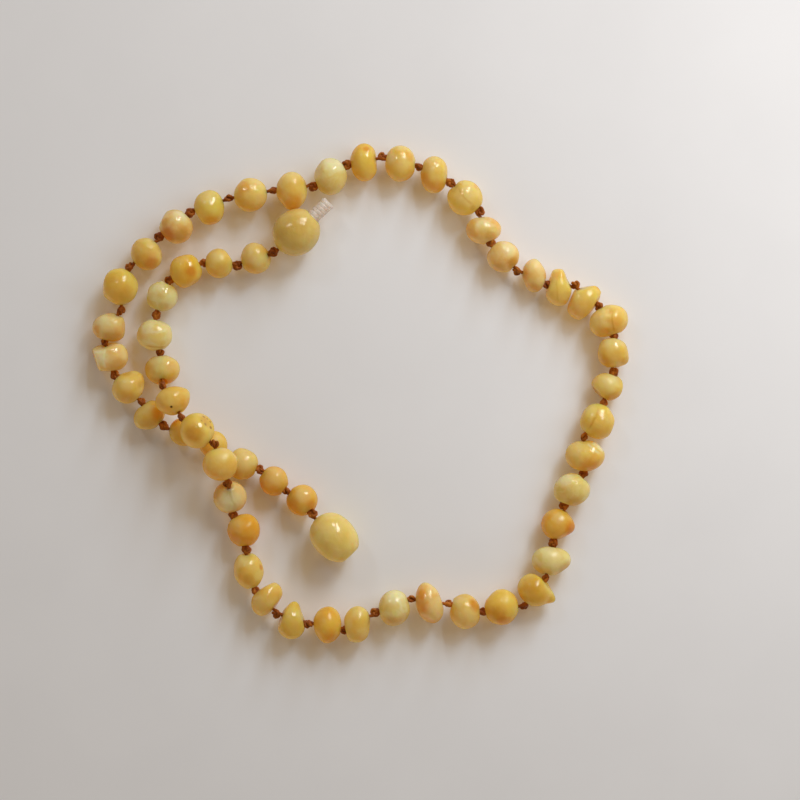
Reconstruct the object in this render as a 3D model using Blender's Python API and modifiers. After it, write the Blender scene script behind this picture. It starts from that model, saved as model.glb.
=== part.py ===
"""Amber bead necklace: 54 drilled and tumbled stones on one knotted thread, with a screw clasp.

The necklace lies open on a flat surface. Its strand starts at the clasp half with the stud, runs
round the loop, passes under its own first stones and ends at the clasp half with the socket.
Lengths are millimetres in the lists below and become metres when a shape is made.
+X is right and +Y is up as seen from above, the surface is Z = 0.
"""

import math
from collections import namedtuple

import bmesh
import bpy
from mathutils import Matrix, Vector

MM = 0.001

# Thread and knots
THREAD_RADIUS = 0.3
KNOT_RADIUS = 0.8
KNOT_HALF_LENGTH = 0.8
KNOT_CORE_HALF = 0.42
THREAD_TAIL = 2.7

# Drilled stones
BORE_RADIUS = 0.5
KNOT_ROOM = 0.97
NEIGHBOUR_GAP = 0.12
STONE_SEGMENTS = 10
STONE_BANDS = 5
FACET_SWELL = 1.03
REST_BAND = 0.3
POLE_HEIGHT = 0.999

# Clasp: the half with the stud, the stud, and the half with the socket
CLASP_SEGMENTS = 14
BARREL_STEPS = 6
BARREL_BORE_RADIUS = 0.5
BARREL_BORE_DEPTH = 3.0
BARREL_MOUTH_WIDTH = 0.5
BARREL_MOUTH_RISE = 0.12
STUD_BARREL_FULLNESS = 2.0
STUD_BARREL_LENGTH = 7.4
STUD_BARREL_RADIUS = 3.6
STUD_BARREL_FACE_RADIUS = 1.5
STUD_HOLE_RADIUS = 1.25
STUD_HOLE_DEPTH = 1.6
STUD_RADIUS = 1.1
STUD_GROOVE_RADIUS = 0.95
STUD_OUT_LENGTH = 3.4
STUD_TIP_TO_CREST = 0.3
STUD_ROOT_LENGTH = 1.4
STUD_RIDGES = 3
STUD_SEGMENTS = 10
SOCKET_BARREL_FULLNESS = 2.2
SOCKET_BARREL_LENGTH = 8.2
SOCKET_BARREL_RADIUS = 3.4
SOCKET_BARREL_FACE_RADIUS = 2.0
SOCKET_RADIUS = 1.4
SOCKET_DEPTH = 4.0

STUD_BARREL_MIDDLE = (-10.14, 25.25, 3.6)
SOCKET_BARREL_MIDDLE = (-4.1, -22.6, 3.4)

# Knots along the strand as seen from above, from the stud half to the socket half
KNOT_ROUTE = (
    (-13.6, 22.1), (-19.4, 20.3), (-24.7, 20.7), (-30.0, 17.8), (-32.3, 12.4), (-31.7, 6.5),
    (-31.0, 1.4), (-27.9, -3.7), (-22.8, -7.9), (-20.7, -14.0), (-19.9, -19.1), (-18.1, -24.6),
    (-16.6, -31.2), (-13.2, -34.6), (-8.2, -36.2), (-2.5, -37.1), (2.4, -34.6), (8.0, -32.4),
    (14.0, -33.2), (19.4, -34.5), (25.8, -33.4), (29.2, -29.2), (30.5, -23.6), (32.2, -17.6),
    (35.3, -12.6), (35.2, -6.8), (38.2, -1.5), (39.8, 3.4), (40.1, 9.1), (37.7, 13.8),
    (33.8, 17.0), (29.5, 17.3), (24.7, 19.4), (20.4, 23.7), (18.7, 28.6), (14.3, 33.3),
    (9.2, 35.8), (3.5, 37.2), (-2.1, 35.9), (-7.5, 32.7), (-13.7, 32.0), (-20.7, 30.7),
    (-26.9, 28.6), (-31.6, 24.6), (-36.3, 19.9), (-37.8, 13.1), (-40.3, 8.2), (-38.8, 2.8),
    (-34.5, -1.4), (-31.1, -5.2), (-25.7, -7.3), (-20.9, -9.8), (-15.9, -12.1), (-11.6, -15.3),
    (-7.6, -19.0),
)

# Height of the first and last knot, where the thread enters the clasp
FIRST_KNOT_HEIGHT = 3.3
LAST_KNOT_HEIGHT = 3.1

# Each stone: middle from above, width, depth, height, turn of its width from +X in degrees,
# lift of its underside above the surface, and tint
Stone = namedtuple("Stone", "x y width depth height turn lift tint")
STONES = (
    Stone(-16.5, 21.3, 4.7, 5.0, 4.8, 0, 0, "butter"),
    Stone(-22.3, 20.5, 4.5, 4.7, 4.6, 0, 0, "butter"),
    Stone(-27.5, 19.3, 5.1, 5.4, 4.9, 0, 0, "honey"),
    Stone(-31.3, 15.3, 5.0, 4.7, 4.5, 0, 0, "milk"),
    Stone(-32.4, 9.2, 5.6, 5.2, 5.0, 0, 0, "milk"),
    Stone(-31.2, 3.8, 5.5, 4.7, 4.6, 0, 0, "butter"),
    Stone(-29.4, -1.2, 5.4, 4.5, 4.4, 12, 2.9, "butter"),
    Stone(-25.4, -5.8, 5.4, 5.6, 5.2, 0, 4.0, "lemon"),
    Stone(-21.8, -11.0, 5.6, 5.3, 5.2, 0, 3.9, "butter"),
    Stone(-20.6, -16.3, 5.3, 5.2, 4.9, 0, 0, "milk"),
    Stone(-18.4, -21.5, 5.2, 5.3, 5.0, 0, 0, "orange"),
    Stone(-17.6, -27.9, 4.7, 5.9, 4.6, 13, 0, "butter"),
    Stone(-14.7, -32.4, 5.8, 4.4, 5.0, 54, 0, "butter"),
    Stone(-10.9, -36.1, 4.6, 5.4, 4.9, 0, 0, "lemon"),
    Stone(-5.2, -36.4, 4.5, 5.8, 5.2, 0, 0, "honey"),
    Stone(-0.6, -36.3, 4.4, 5.7, 5.0, -10, 0, "butter"),
    Stone(5.3, -33.8, 5.0, 5.8, 5.2, 0, 0, "milk"),
    Stone(10.9, -33.1, 4.3, 6.4, 5.2, 14, 0, "cream"),
    Stone(16.5, -34.3, 4.9, 5.6, 5.0, 8, 0, "butter"),
    Stone(22.2, -33.6, 5.6, 5.7, 5.3, 0, 0, "honey"),
    Stone(27.5, -30.9, 5.7, 5.3, 5.0, -20, 0, "lemon"),
    Stone(29.8, -26.4, 5.7, 4.7, 4.6, 0, 0, "milk"),
    Stone(31.1, -20.6, 5.1, 5.0, 4.8, 0, 0, "orange"),
    Stone(33.4, -15.1, 5.6, 5.2, 5.0, 0, 0, "milk"),
    Stone(35.4, -9.8, 6.3, 5.0, 5.2, 0, 0, "butter"),
    Stone(37.4, -4.4, 5.6, 5.7, 5.3, 0, 0, "lemon"),
    Stone(38.9, 1.1, 5.3, 4.4, 4.4, 0, 0, "butter"),
    Stone(39.7, 6.5, 4.9, 4.9, 4.8, 0, 0, "butter"),
    Stone(39.1, 11.4, 6.3, 5.0, 5.0, 20, 0, "butter"),
    Stone(35.3, 14.5, 6.2, 4.9, 4.7, 48, 0, "lemon"),
    Stone(31.3, 16.7, 4.8, 5.9, 4.6, 0, 0, "lemon"),
    Stone(27.4, 18.6, 3.8, 5.2, 4.5, 0, 0, "cream"),
    Stone(22.5, 21.6, 5.1, 5.0, 4.8, 0, 0, "cream"),
    Stone(19.5, 25.7, 5.5, 4.3, 4.5, 0, 0, "lemon"),
    Stone(16.5, 30.8, 5.6, 5.5, 5.2, 43, 0, "lemon"),
    Stone(11.6, 34.5, 4.5, 5.8, 4.8, 0, 0, "butter"),
    Stone(6.3, 36.2, 4.9, 5.8, 5.1, 0, 0, "lemon"),
    Stone(0.6, 36.4, 4.4, 6.0, 5.0, 0, 0, "honey"),
    Stone(-4.7, 34.2, 5.2, 5.9, 5.2, 0, 0, "milk"),
    Stone(-10.8, 31.9, 4.9, 6.0, 5.2, 0, 0, "butter"),
    Stone(-17.4, 31.3, 5.4, 5.4, 5.2, 0, 0, "butter"),
    Stone(-23.8, 29.3, 4.8, 5.5, 5.0, 0, 0, "lemon"),
    Stone(-29.0, 26.3, 5.6, 5.1, 5.1, -49, 0, "cream"),
    Stone(-33.7, 22.0, 5.3, 4.9, 4.9, -50, 0, "butter"),
    Stone(-37.9, 16.8, 5.7, 5.8, 5.5, 0, 0, "lemon"),
    Stone(-39.5, 10.4, 5.6, 4.8, 4.5, 0, 0, "cream"),
    Stone(-39.7, 5.8, 6.2, 5.4, 4.6, 0, 0, "cream"),
    Stone(-36.6, 1.0, 5.3, 4.9, 4.8, 45, 0, "butter"),
    Stone(-33.2, -3.4, 5.6, 4.2, 4.3, 40, 0, "butter"),
    Stone(-27.9, -6.0, 4.5, 4.4, 4.3, 0, 0, "honey"),
    Stone(-23.2, -8.2, 4.4, 4.6, 4.3, 0, 0, "honey"),
    Stone(-18.6, -11.1, 4.9, 5.1, 4.5, 0, 0, "honey"),
    Stone(-13.6, -13.8, 4.7, 4.8, 4.6, 0, 0, "orange"),
    Stone(-9.2, -16.8, 4.9, 4.9, 4.7, 0, 0, "orange"),
)

# Corners, peaks (positive) and dents (negative) of the irregular stones:
# direction in the plan, rise above it, reach, and spread, with the angles in degrees
Pull = namedtuple("Pull", "azimuth rise reach spread")
PULLS = {
    7: (Pull(35, 0, 0.35, 24),),
    8: (Pull(30, 40, -0.25, 22),),
    10: (Pull(90, 20, 0.25, 25),),
    14: (Pull(84, 0, 0.75, 26),),
    16: (Pull(-60, 0, 0.2, 30),),
    18: (Pull(2, 0, -0.3, 22), Pull(110, 0, 0.2, 25),),
    19: (Pull(-50, 0, 0.15, 30),),
    21: (Pull(-28, 0, 0.85, 17),),
    22: (Pull(6, 0, 0.75, 28),),
    23: (Pull(-4, 0, 0.4, 24),),
    24: (Pull(200, 0, 0.25, 30), Pull(44, 8, -0.3, 18),),
    25: (Pull(150, 0, 0.15, 30),),
    28: (Pull(-38, 0, 0.5, 22),),
    29: (Pull(85, 50, -0.4, 16), Pull(200, 88, -0.35, 14), Pull(-95, 45, -0.35, 16),),
    34: (Pull(150, 0, 0.15, 30),),
    48: (Pull(45, 0, 0.3, 26),),
}

# Flat sides: facing direction, rise above the plan, and distance from the stone's middle
Cut = namedtuple("Cut", "azimuth rise distance")
CUTS = {
    3: (Cut(-62, 0, 2.39),),
    13: (Cut(-35, 5, 1.71),),
    14: (Cut(161, 8, 1.72), Cut(20, 10, 2.05),),
    21: (Cut(38, 10, 2.07),),
    23: (Cut(-62, 6, 2.29),),
    27: (Cut(222, 5, 1.79),),
    30: (Cut(106, 12, 2.14), Cut(-29, 8, 1.43), Cut(163, 8, 2.13),),
    31: (Cut(22, 8, 1.41), Cut(165, 8, 1.56),),
    45: (Cut(180, 10, 2.6),),
    46: (Cut(0, 8, 2.37),),
    47: (Cut(105, 18, 1.78), Cut(197, 8, 2.13), Cut(-88, 0, 2.35),),
    48: (Cut(100, 30, 1.95),),
}

TINTS = {
    "milk": (0.86, 0.76, 0.48),
    "cream": (0.86, 0.66, 0.38),
    "butter": (0.83, 0.64, 0.25),
    "lemon": (0.83, 0.66, 0.20),
    "honey": (0.80, 0.50, 0.13),
    "orange": (0.80, 0.40, 0.08),
}
AMBER_ROUGHNESS = 0.22
THREAD_COLOUR = (0.28, 0.08, 0.03)
STUD_BARREL_COLOUR = (0.72, 0.56, 0.22)
SOCKET_BARREL_COLOUR = (0.78, 0.66, 0.30)
STUD_COLOUR = (0.85, 0.68, 0.60)


def clear_scene():
    """Remove every object that the file holds."""
    for item in list(bpy.data.objects):
        bpy.data.objects.remove(item, do_unlink=True)


def make_collection(name):
    """Make a collection in the scene and return it."""
    collection = bpy.data.collections.new(name)
    bpy.context.scene.collection.children.link(collection)
    return collection


def make_material(name, colour, roughness):
    """Make a Principled material with a plain colour."""
    material = bpy.data.materials.new(name)
    material.use_nodes = True
    shader = material.node_tree.nodes["Principled BSDF"]
    shader.inputs["Base Color"].default_value = (*colour, 1.0)
    shader.inputs["Roughness"].default_value = roughness
    shader.inputs["Metallic"].default_value = 0.0
    material.diffuse_color = (*colour, 1.0)
    return material


def add_object(name, data, material, collection):
    """Put mesh or curve data in the scene as a named object with its own material."""
    item = bpy.data.objects.new(name, data)
    data.materials.append(material)
    collection.objects.link(item)
    return item


def direction_from(azimuth, rise):
    """Unit vector for a direction in the plan and its rise above it, in degrees."""
    flat = math.cos(math.radians(rise))
    return Vector((
        flat * math.cos(math.radians(azimuth)),
        flat * math.sin(math.radians(azimuth)),
        math.sin(math.radians(rise)),
    ))


def stone_middle(stone):
    """Middle of a stone's body."""
    return Vector((stone.x, stone.y, stone.lift + stone.height / 2))


def knot_places():
    """Centre of every knot: from above as listed, at a height between its two stones."""
    middles = [stone_middle(stone).z for stone in STONES]
    heights = [FIRST_KNOT_HEIGHT]
    heights += [(low + high) / 2 for low, high in zip(middles, middles[1:])]
    heights.append(LAST_KNOT_HEIGHT)
    return [Vector((x, y, z)) for (x, y), z in zip(KNOT_ROUTE, heights)]


def strand_bends(knots):
    """Direction of the strand through every knot, midway between its two sides."""
    points = [Vector(STUD_BARREL_MIDDLE), *knots, Vector(SOCKET_BARREL_MIDDLE)]
    steps = [(after - before).normalized() for before, after in zip(points, points[1:])]
    return [(before + after).normalized() for before, after in zip(steps, steps[1:])]


def reach_of_body(stone, hub, direction):
    """Distance from the hub to the surface of the stone's rounded body along a direction."""
    into_body = Matrix.Rotation(math.radians(-stone.turn), 3, "Z")
    half = Vector((stone.width / 2, stone.depth / 2, stone.height / 2)) * FACET_SWELL
    start = into_body @ (hub - stone_middle(stone))
    step = into_body @ direction
    start = Vector((start.x / half.x, start.y / half.y, start.z / half.z))
    step = Vector((step.x / half.x, step.y / half.y, step.z / half.z))
    along = start.dot(step)
    square = step.length_squared
    return (math.sqrt(along ** 2 + square * (1 - start.length_squared)) - along) / square


def reach_with_cuts(number, stone, hub, reach, direction):
    """Reach of the surface with the stone's own flat sides."""
    for cut in CUTS.get(number, ()):
        facing = direction_from(cut.azimuth, cut.rise)
        closing = direction.dot(facing)
        if closing > 0:
            reach = min(reach, (cut.distance + (stone_middle(stone) - hub).dot(facing)) / closing)
    return reach


def reach_with_pulls(number, reach, direction):
    """Reach of the surface with the stone's own corners and dents."""
    for pull in PULLS.get(number, ()):
        angle = math.degrees(direction.angle(direction_from(pull.azimuth, pull.rise)))
        reach += pull.reach * math.exp(-(angle / pull.spread) ** 2)
    return reach


def reach_clear_of_knot(hub, direction, reach, knot, outward):
    """Keep the surface out of the knot's room and on this side of the knot."""
    to_knot = knot - hub
    closing = direction.dot(outward)
    if closing > 0:
        reach = min(reach, (to_knot.dot(outward) - NEIGHBOUR_GAP) / closing)
    near = to_knot.dot(direction)
    aside = to_knot.length_squared - near ** 2
    if near > 0 and aside < KNOT_ROOM ** 2:
        reach = min(reach, near - math.sqrt(KNOT_ROOM ** 2 - aside))
    return reach


def drilled_ball():
    """A round cage whose poles are opened and joined by a straight bore.

    Returns the cage and its two mouth rings.
    """
    cage = bmesh.new()
    bmesh.ops.create_uvsphere(cage, u_segments=STONE_SEGMENTS, v_segments=STONE_BANDS, radius=1)
    poles = [vert for vert in cage.verts if abs(vert.co.z) > POLE_HEIGHT]
    bmesh.ops.delete(cage, geom=poles, context="VERTS")
    rims = [edge for edge in cage.edges if edge.is_boundary]
    grown = bmesh.ops.extrude_edge_only(cage, edges=rims)["geom"]
    mouths = {part for part in grown if isinstance(part, bmesh.types.BMVert)}
    edges = [part for part in grown if isinstance(part, bmesh.types.BMEdge)]
    bmesh.ops.bridge_loops(cage, edges=[edge for edge in edges if edge.is_boundary])
    return cage, mouths


def make_stone(number, stone, knots, bends, collection):
    """Make one tumbled stone, bored straight from the knot before it to the knot after it."""
    before, after = knots[number - 1], knots[number]
    along = (after - before).normalized()
    side = along.cross(Vector((0, 0, 1))).normalized()
    turn = Matrix((side, along.cross(side), along)).transposed()
    hub = before + along * (stone_middle(stone) - before).dot(along)

    def reach(direction):
        """Distance from the hub to the finished surface."""
        length = reach_with_cuts(number, stone, hub, reach_of_body(stone, hub, direction), direction)
        length = reach_with_pulls(number, length, direction)
        length = reach_clear_of_knot(hub, direction, length, before, -bends[number - 1])
        return reach_clear_of_knot(hub, direction, length, after, bends[number])

    cage, mouths = drilled_ball()
    for vert in cage.verts:
        if vert in mouths:
            end = along if vert.co.z > 0 else -along
            spoke = turn @ Vector((vert.co.x, vert.co.y, 0)).normalized()
            place = hub + end * reach(end) + spoke * BORE_RADIUS
        else:
            direction = (turn @ vert.co).normalized()
            place = hub + direction * reach(direction)
        if stone.lift == 0 and place.z < REST_BAND:
            place.z = 0
        vert.co = place * MM
    bmesh.ops.recalc_face_normals(cage, faces=cage.faces)
    if cage.calc_volume(signed=True) < 0:
        bmesh.ops.reverse_faces(cage, faces=cage.faces)
    name = f"stone_{number:02d}"
    mesh = bpy.data.meshes.new(name)
    cage.to_mesh(mesh)
    cage.free()
    mesh.shade_smooth()
    material = make_material(f"amber_{stone.tint}_{number:02d}", TINTS[stone.tint], AMBER_ROUGHNESS)
    return add_object(name, mesh, material, collection)


def thread_points(knots):
    """Points of the thread with its radius at each: four for every knot, and one at each end."""
    stud_end = Vector(STUD_BARREL_MIDDLE)
    socket_end = Vector(SOCKET_BARREL_MIDDLE)
    line = [stud_end, *knots, socket_end]
    points = [(knots[0] + (stud_end - knots[0]).normalized() * THREAD_TAIL, THREAD_RADIUS)]
    for before, knot, after in zip(line, line[1:], line[2:]):
        back = (before - knot).normalized()
        ahead = (after - knot).normalized()
        points.append((knot + back * KNOT_HALF_LENGTH, THREAD_RADIUS))
        points.append((knot + back * KNOT_CORE_HALF, KNOT_RADIUS))
        points.append((knot + ahead * KNOT_CORE_HALF, KNOT_RADIUS))
        points.append((knot + ahead * KNOT_HALF_LENGTH, THREAD_RADIUS))
    points.append((knots[-1] + (socket_end - knots[-1]).normalized() * THREAD_TAIL, THREAD_RADIUS))
    return points


def make_thread(knots, collection):
    """Make the thread: one tube through every stone that swells at each knot."""
    points = thread_points(knots)
    curve = bpy.data.curves.new("thread", "CURVE")
    curve.dimensions = "3D"
    curve.bevel_depth = THREAD_RADIUS * MM
    curve.bevel_resolution = 1
    curve.use_fill_caps = True
    spline = curve.splines.new("POLY")
    spline.points.add(len(points) - 1)
    for target, (place, radius) in zip(spline.points, points):
        target.co = (*(place * MM), 1.0)
        target.radius = radius / THREAD_RADIUS
    material = make_material("waxed_thread", THREAD_COLOUR, 0.75)
    return add_object("thread", curve, material, collection)


def barrel_outline(length, radius, face_radius, full):
    """Outer side of a rounded barrel, from its flat face down to its thread end."""
    half = length / 2
    cut = (1 - (face_radius / radius) ** full) ** (1 / full)
    outline = [(face_radius, half)]
    for step in range(1, BARREL_STEPS):
        height = half * (1 - 2 * step / BARREL_STEPS)
        share = height / half * (cut if height > 0 else 1)
        outline.append((radius * (1 - abs(share) ** full) ** (1 / full), height))
    outline.append((BARREL_BORE_RADIUS + BARREL_MOUTH_WIDTH, BARREL_MOUTH_RISE - half))
    outline.append((BARREL_BORE_RADIUS, -half))
    return outline


def turned_object(name, profile, segments, material, middle, axis, collection):
    """Turn a profile of radius and height pairs about its axis and lay it along a direction."""
    mesh = bpy.data.meshes.new(name)
    verts = [(radius * MM, 0, height * MM) for radius, height in profile]
    mesh.from_pydata(verts, [(i, i + 1) for i in range(len(verts) - 1)], [])
    item = add_object(name, mesh, material, collection)
    item.location = middle * MM
    item.rotation_mode = "QUATERNION"
    item.rotation_quaternion = axis.to_track_quat("Z", "Y")
    screw = item.modifiers.new("turning", "SCREW")
    screw.steps = segments
    screw.render_steps = segments
    screw.use_merge_vertices = True
    screw.merge_threshold = 0.00001
    screw.use_smooth_shade = True
    return item


def make_barrel(name, size, hole, material, place, collection):
    """Make one half of the clasp: a rounded barrel with a thread bore and a hole in its face."""
    length, radius, face_radius, fullness = size
    hole_radius, hole_depth = hole
    middle, axis = place
    half = length / 2
    profile = [(0, half - hole_depth), (hole_radius, half - hole_depth), (hole_radius, half)]
    profile += barrel_outline(length, radius, face_radius, fullness)
    profile += [(BARREL_BORE_RADIUS, BARREL_BORE_DEPTH - half), (0, BARREL_BORE_DEPTH - half)]
    return turned_object(name, profile, CLASP_SEGMENTS, material, middle, axis, collection)


def make_stud(middle, axis, collection):
    """Make the ridged screw stud that stands in the first clasp half's face."""
    face = STUD_BARREL_LENGTH / 2
    tip = face + STUD_OUT_LENGTH
    pitch = (STUD_OUT_LENGTH - 2 * STUD_TIP_TO_CREST) / STUD_RIDGES
    profile = [(0, tip), (STUD_GROOVE_RADIUS, tip)]
    for ridge in range(STUD_RIDGES):
        crest = tip - STUD_TIP_TO_CREST - ridge * pitch
        profile.append((STUD_RADIUS, crest))
        profile.append((STUD_GROOVE_RADIUS, crest - pitch / 2))
    root = face - STUD_ROOT_LENGTH
    profile += [(STUD_RADIUS, face), (STUD_RADIUS, root), (0, root)]
    material = make_material("clear_stud", STUD_COLOUR, 0.3)
    return turned_object("clasp_stud", profile, STUD_SEGMENTS, material, middle, axis, collection)


def make_clasp(knots, collection):
    """Make both clasp halves, each in line with the knot that its thread comes from."""
    stud_middle = Vector(STUD_BARREL_MIDDLE)
    stud_axis = (stud_middle - knots[0]).normalized()
    make_barrel(
        "clasp_stud_barrel",
        (STUD_BARREL_LENGTH, STUD_BARREL_RADIUS, STUD_BARREL_FACE_RADIUS, STUD_BARREL_FULLNESS),
        (STUD_HOLE_RADIUS, STUD_HOLE_DEPTH),
        make_material("stud_half", STUD_BARREL_COLOUR, AMBER_ROUGHNESS),
        (stud_middle, stud_axis),
        collection,
    )
    make_stud(stud_middle, stud_axis, collection)
    socket_middle = Vector(SOCKET_BARREL_MIDDLE)
    make_barrel(
        "clasp_socket_barrel",
        (
            SOCKET_BARREL_LENGTH,
            SOCKET_BARREL_RADIUS,
            SOCKET_BARREL_FACE_RADIUS,
            SOCKET_BARREL_FULLNESS,
        ),
        (SOCKET_RADIUS, SOCKET_DEPTH),
        make_material("socket_half", SOCKET_BARREL_COLOUR, AMBER_ROUGHNESS),
        (socket_middle, (socket_middle - knots[-1]).normalized()),
        collection,
    )


def main():
    """Build the necklace."""
    clear_scene()
    collection = make_collection("amber_bead_necklace")
    knots = knot_places()
    bends = strand_bends(knots)
    for number, stone in enumerate(STONES, start=1):
        make_stone(number, stone, knots, bends, collection)
    make_thread(knots, collection)
    make_clasp(knots, collection)


main()
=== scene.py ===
"""Dress the amber bead necklace: polished stones, knotted waxed thread and a turned screw clasp.

The necklace lies on pale paper in soft window light and is seen from straight above.
Lengths in the lists are millimetres; everything handed to Blender is in metres.
"""

from __future__ import annotations

import logging
import math
from dataclasses import dataclass, field
from enum import Enum
from typing import Iterable

import bmesh
import bpy
import numpy as np
from mathutils import Matrix, Vector


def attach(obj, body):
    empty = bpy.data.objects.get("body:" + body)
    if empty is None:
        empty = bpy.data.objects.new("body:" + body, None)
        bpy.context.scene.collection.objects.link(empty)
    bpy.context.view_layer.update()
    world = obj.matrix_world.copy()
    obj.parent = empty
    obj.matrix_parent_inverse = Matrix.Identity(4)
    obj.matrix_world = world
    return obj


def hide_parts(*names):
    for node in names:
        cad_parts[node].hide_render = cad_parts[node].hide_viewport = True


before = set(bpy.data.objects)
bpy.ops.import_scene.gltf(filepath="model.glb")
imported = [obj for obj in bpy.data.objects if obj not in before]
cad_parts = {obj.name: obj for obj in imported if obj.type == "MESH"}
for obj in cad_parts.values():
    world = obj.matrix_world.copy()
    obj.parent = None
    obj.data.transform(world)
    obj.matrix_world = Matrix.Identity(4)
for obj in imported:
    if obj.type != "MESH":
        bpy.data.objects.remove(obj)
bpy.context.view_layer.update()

log = logging.getLogger("necklace")

MM = 0.001
UP = Vector((0, 0, 1))
BODY = "root"
Rgb = tuple[float, float, float]


class Tint(Enum):
    """The kinds of amber in the strand."""

    MILK = "milk"
    CREAM = "cream"
    BUTTER = "butter"
    LEMON = "lemon"
    HONEY = "honey"
    ORANGE = "orange"


# The pale tones give the amber's milky clouds and also painted highlights, sheen and light; the orange and
# ochre tones give its crust and also painted shade.
class Tone(Enum):
    """Colours of the marks in the amber."""

    WHITE = (0.86, 0.78, 0.50)
    CREAM = (0.82, 0.63, 0.30)
    PEACH = (0.80, 0.50, 0.18)
    YELLOW = (0.84, 0.605, 0.14)
    OCHRE = (0.55, 0.30, 0.03)
    ORANGE = (0.70, 0.30, 0.015)
    RUST = (0.55, 0.17, 0.005)
    BROWN = (0.26, 0.11, 0.03)
    DARK = (0.04, 0.02, 0.01)


class MarkKind(Enum):
    """Forms that a mark in the amber can take."""

    SPOT = "spot"
    SHEET = "sheet"


@dataclass(frozen=True)
class Mark:
    """A coloured place in a stone.

    Offsets run from the stone's middle as seen from above, and the mark lies under the upper side.
    A spot has a radius. A sheet is a thin vein across its place, with its facing direction. Besides the
    amber's own clouds, veins and crust, many marks are painted light and shade: pale marks towards the
    window, at the top of the view, paint its light, and orange and ochre marks towards the bottom of the
    view paint shade.
    """

    tone: Tone
    right: float
    up: float
    reach: float
    strength: float
    kind: MarkKind = MarkKind.SPOT
    facing: float = 0.0


@dataclass(frozen=True)
class Pull:
    """A corner or peak, or a dent where the reach is negative; angles in degrees."""

    azimuth: float
    rise: float
    reach: float
    spread: float


@dataclass(frozen=True)
class Cut:
    """A flat side: where it faces, in degrees, and its distance from the stone's middle."""

    azimuth: float
    rise: float
    distance: float


@dataclass(frozen=True)
class Stone:
    """One stone: its middle from above, its three widths, its turn and its lift above the paper."""

    x: float
    y: float
    width: float
    depth: float
    height: float
    turn: float
    lift: float
    tint: Tint
    pulls: tuple[Pull, ...] = ()
    cuts: tuple[Cut, ...] = ()
    marks: tuple[Mark, ...] = ()

    @property
    def middle(self) -> np.ndarray:
        """Middle of the body."""
        return np.array((self.x, self.y, self.lift + self.height / 2))

    @property
    def half(self) -> np.ndarray:
        """Half of the body's width, depth and height."""
        return np.array((self.width, self.depth, self.height)) / 2

    @property
    def axes(self) -> np.ndarray:
        """Unit directions of the body's width, depth and height, one a row."""
        turn = math.radians(self.turn)
        return np.array(((math.cos(turn), math.sin(turn), 0), (-math.sin(turn), math.cos(turn), 0), UP))


# Many stones carry pale marks towards the top of the view, which paint the window's light, and orange and
# ochre marks towards the bottom, which paint shade. These sit beside the amber's own clouds, veins and
# crust.
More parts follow.
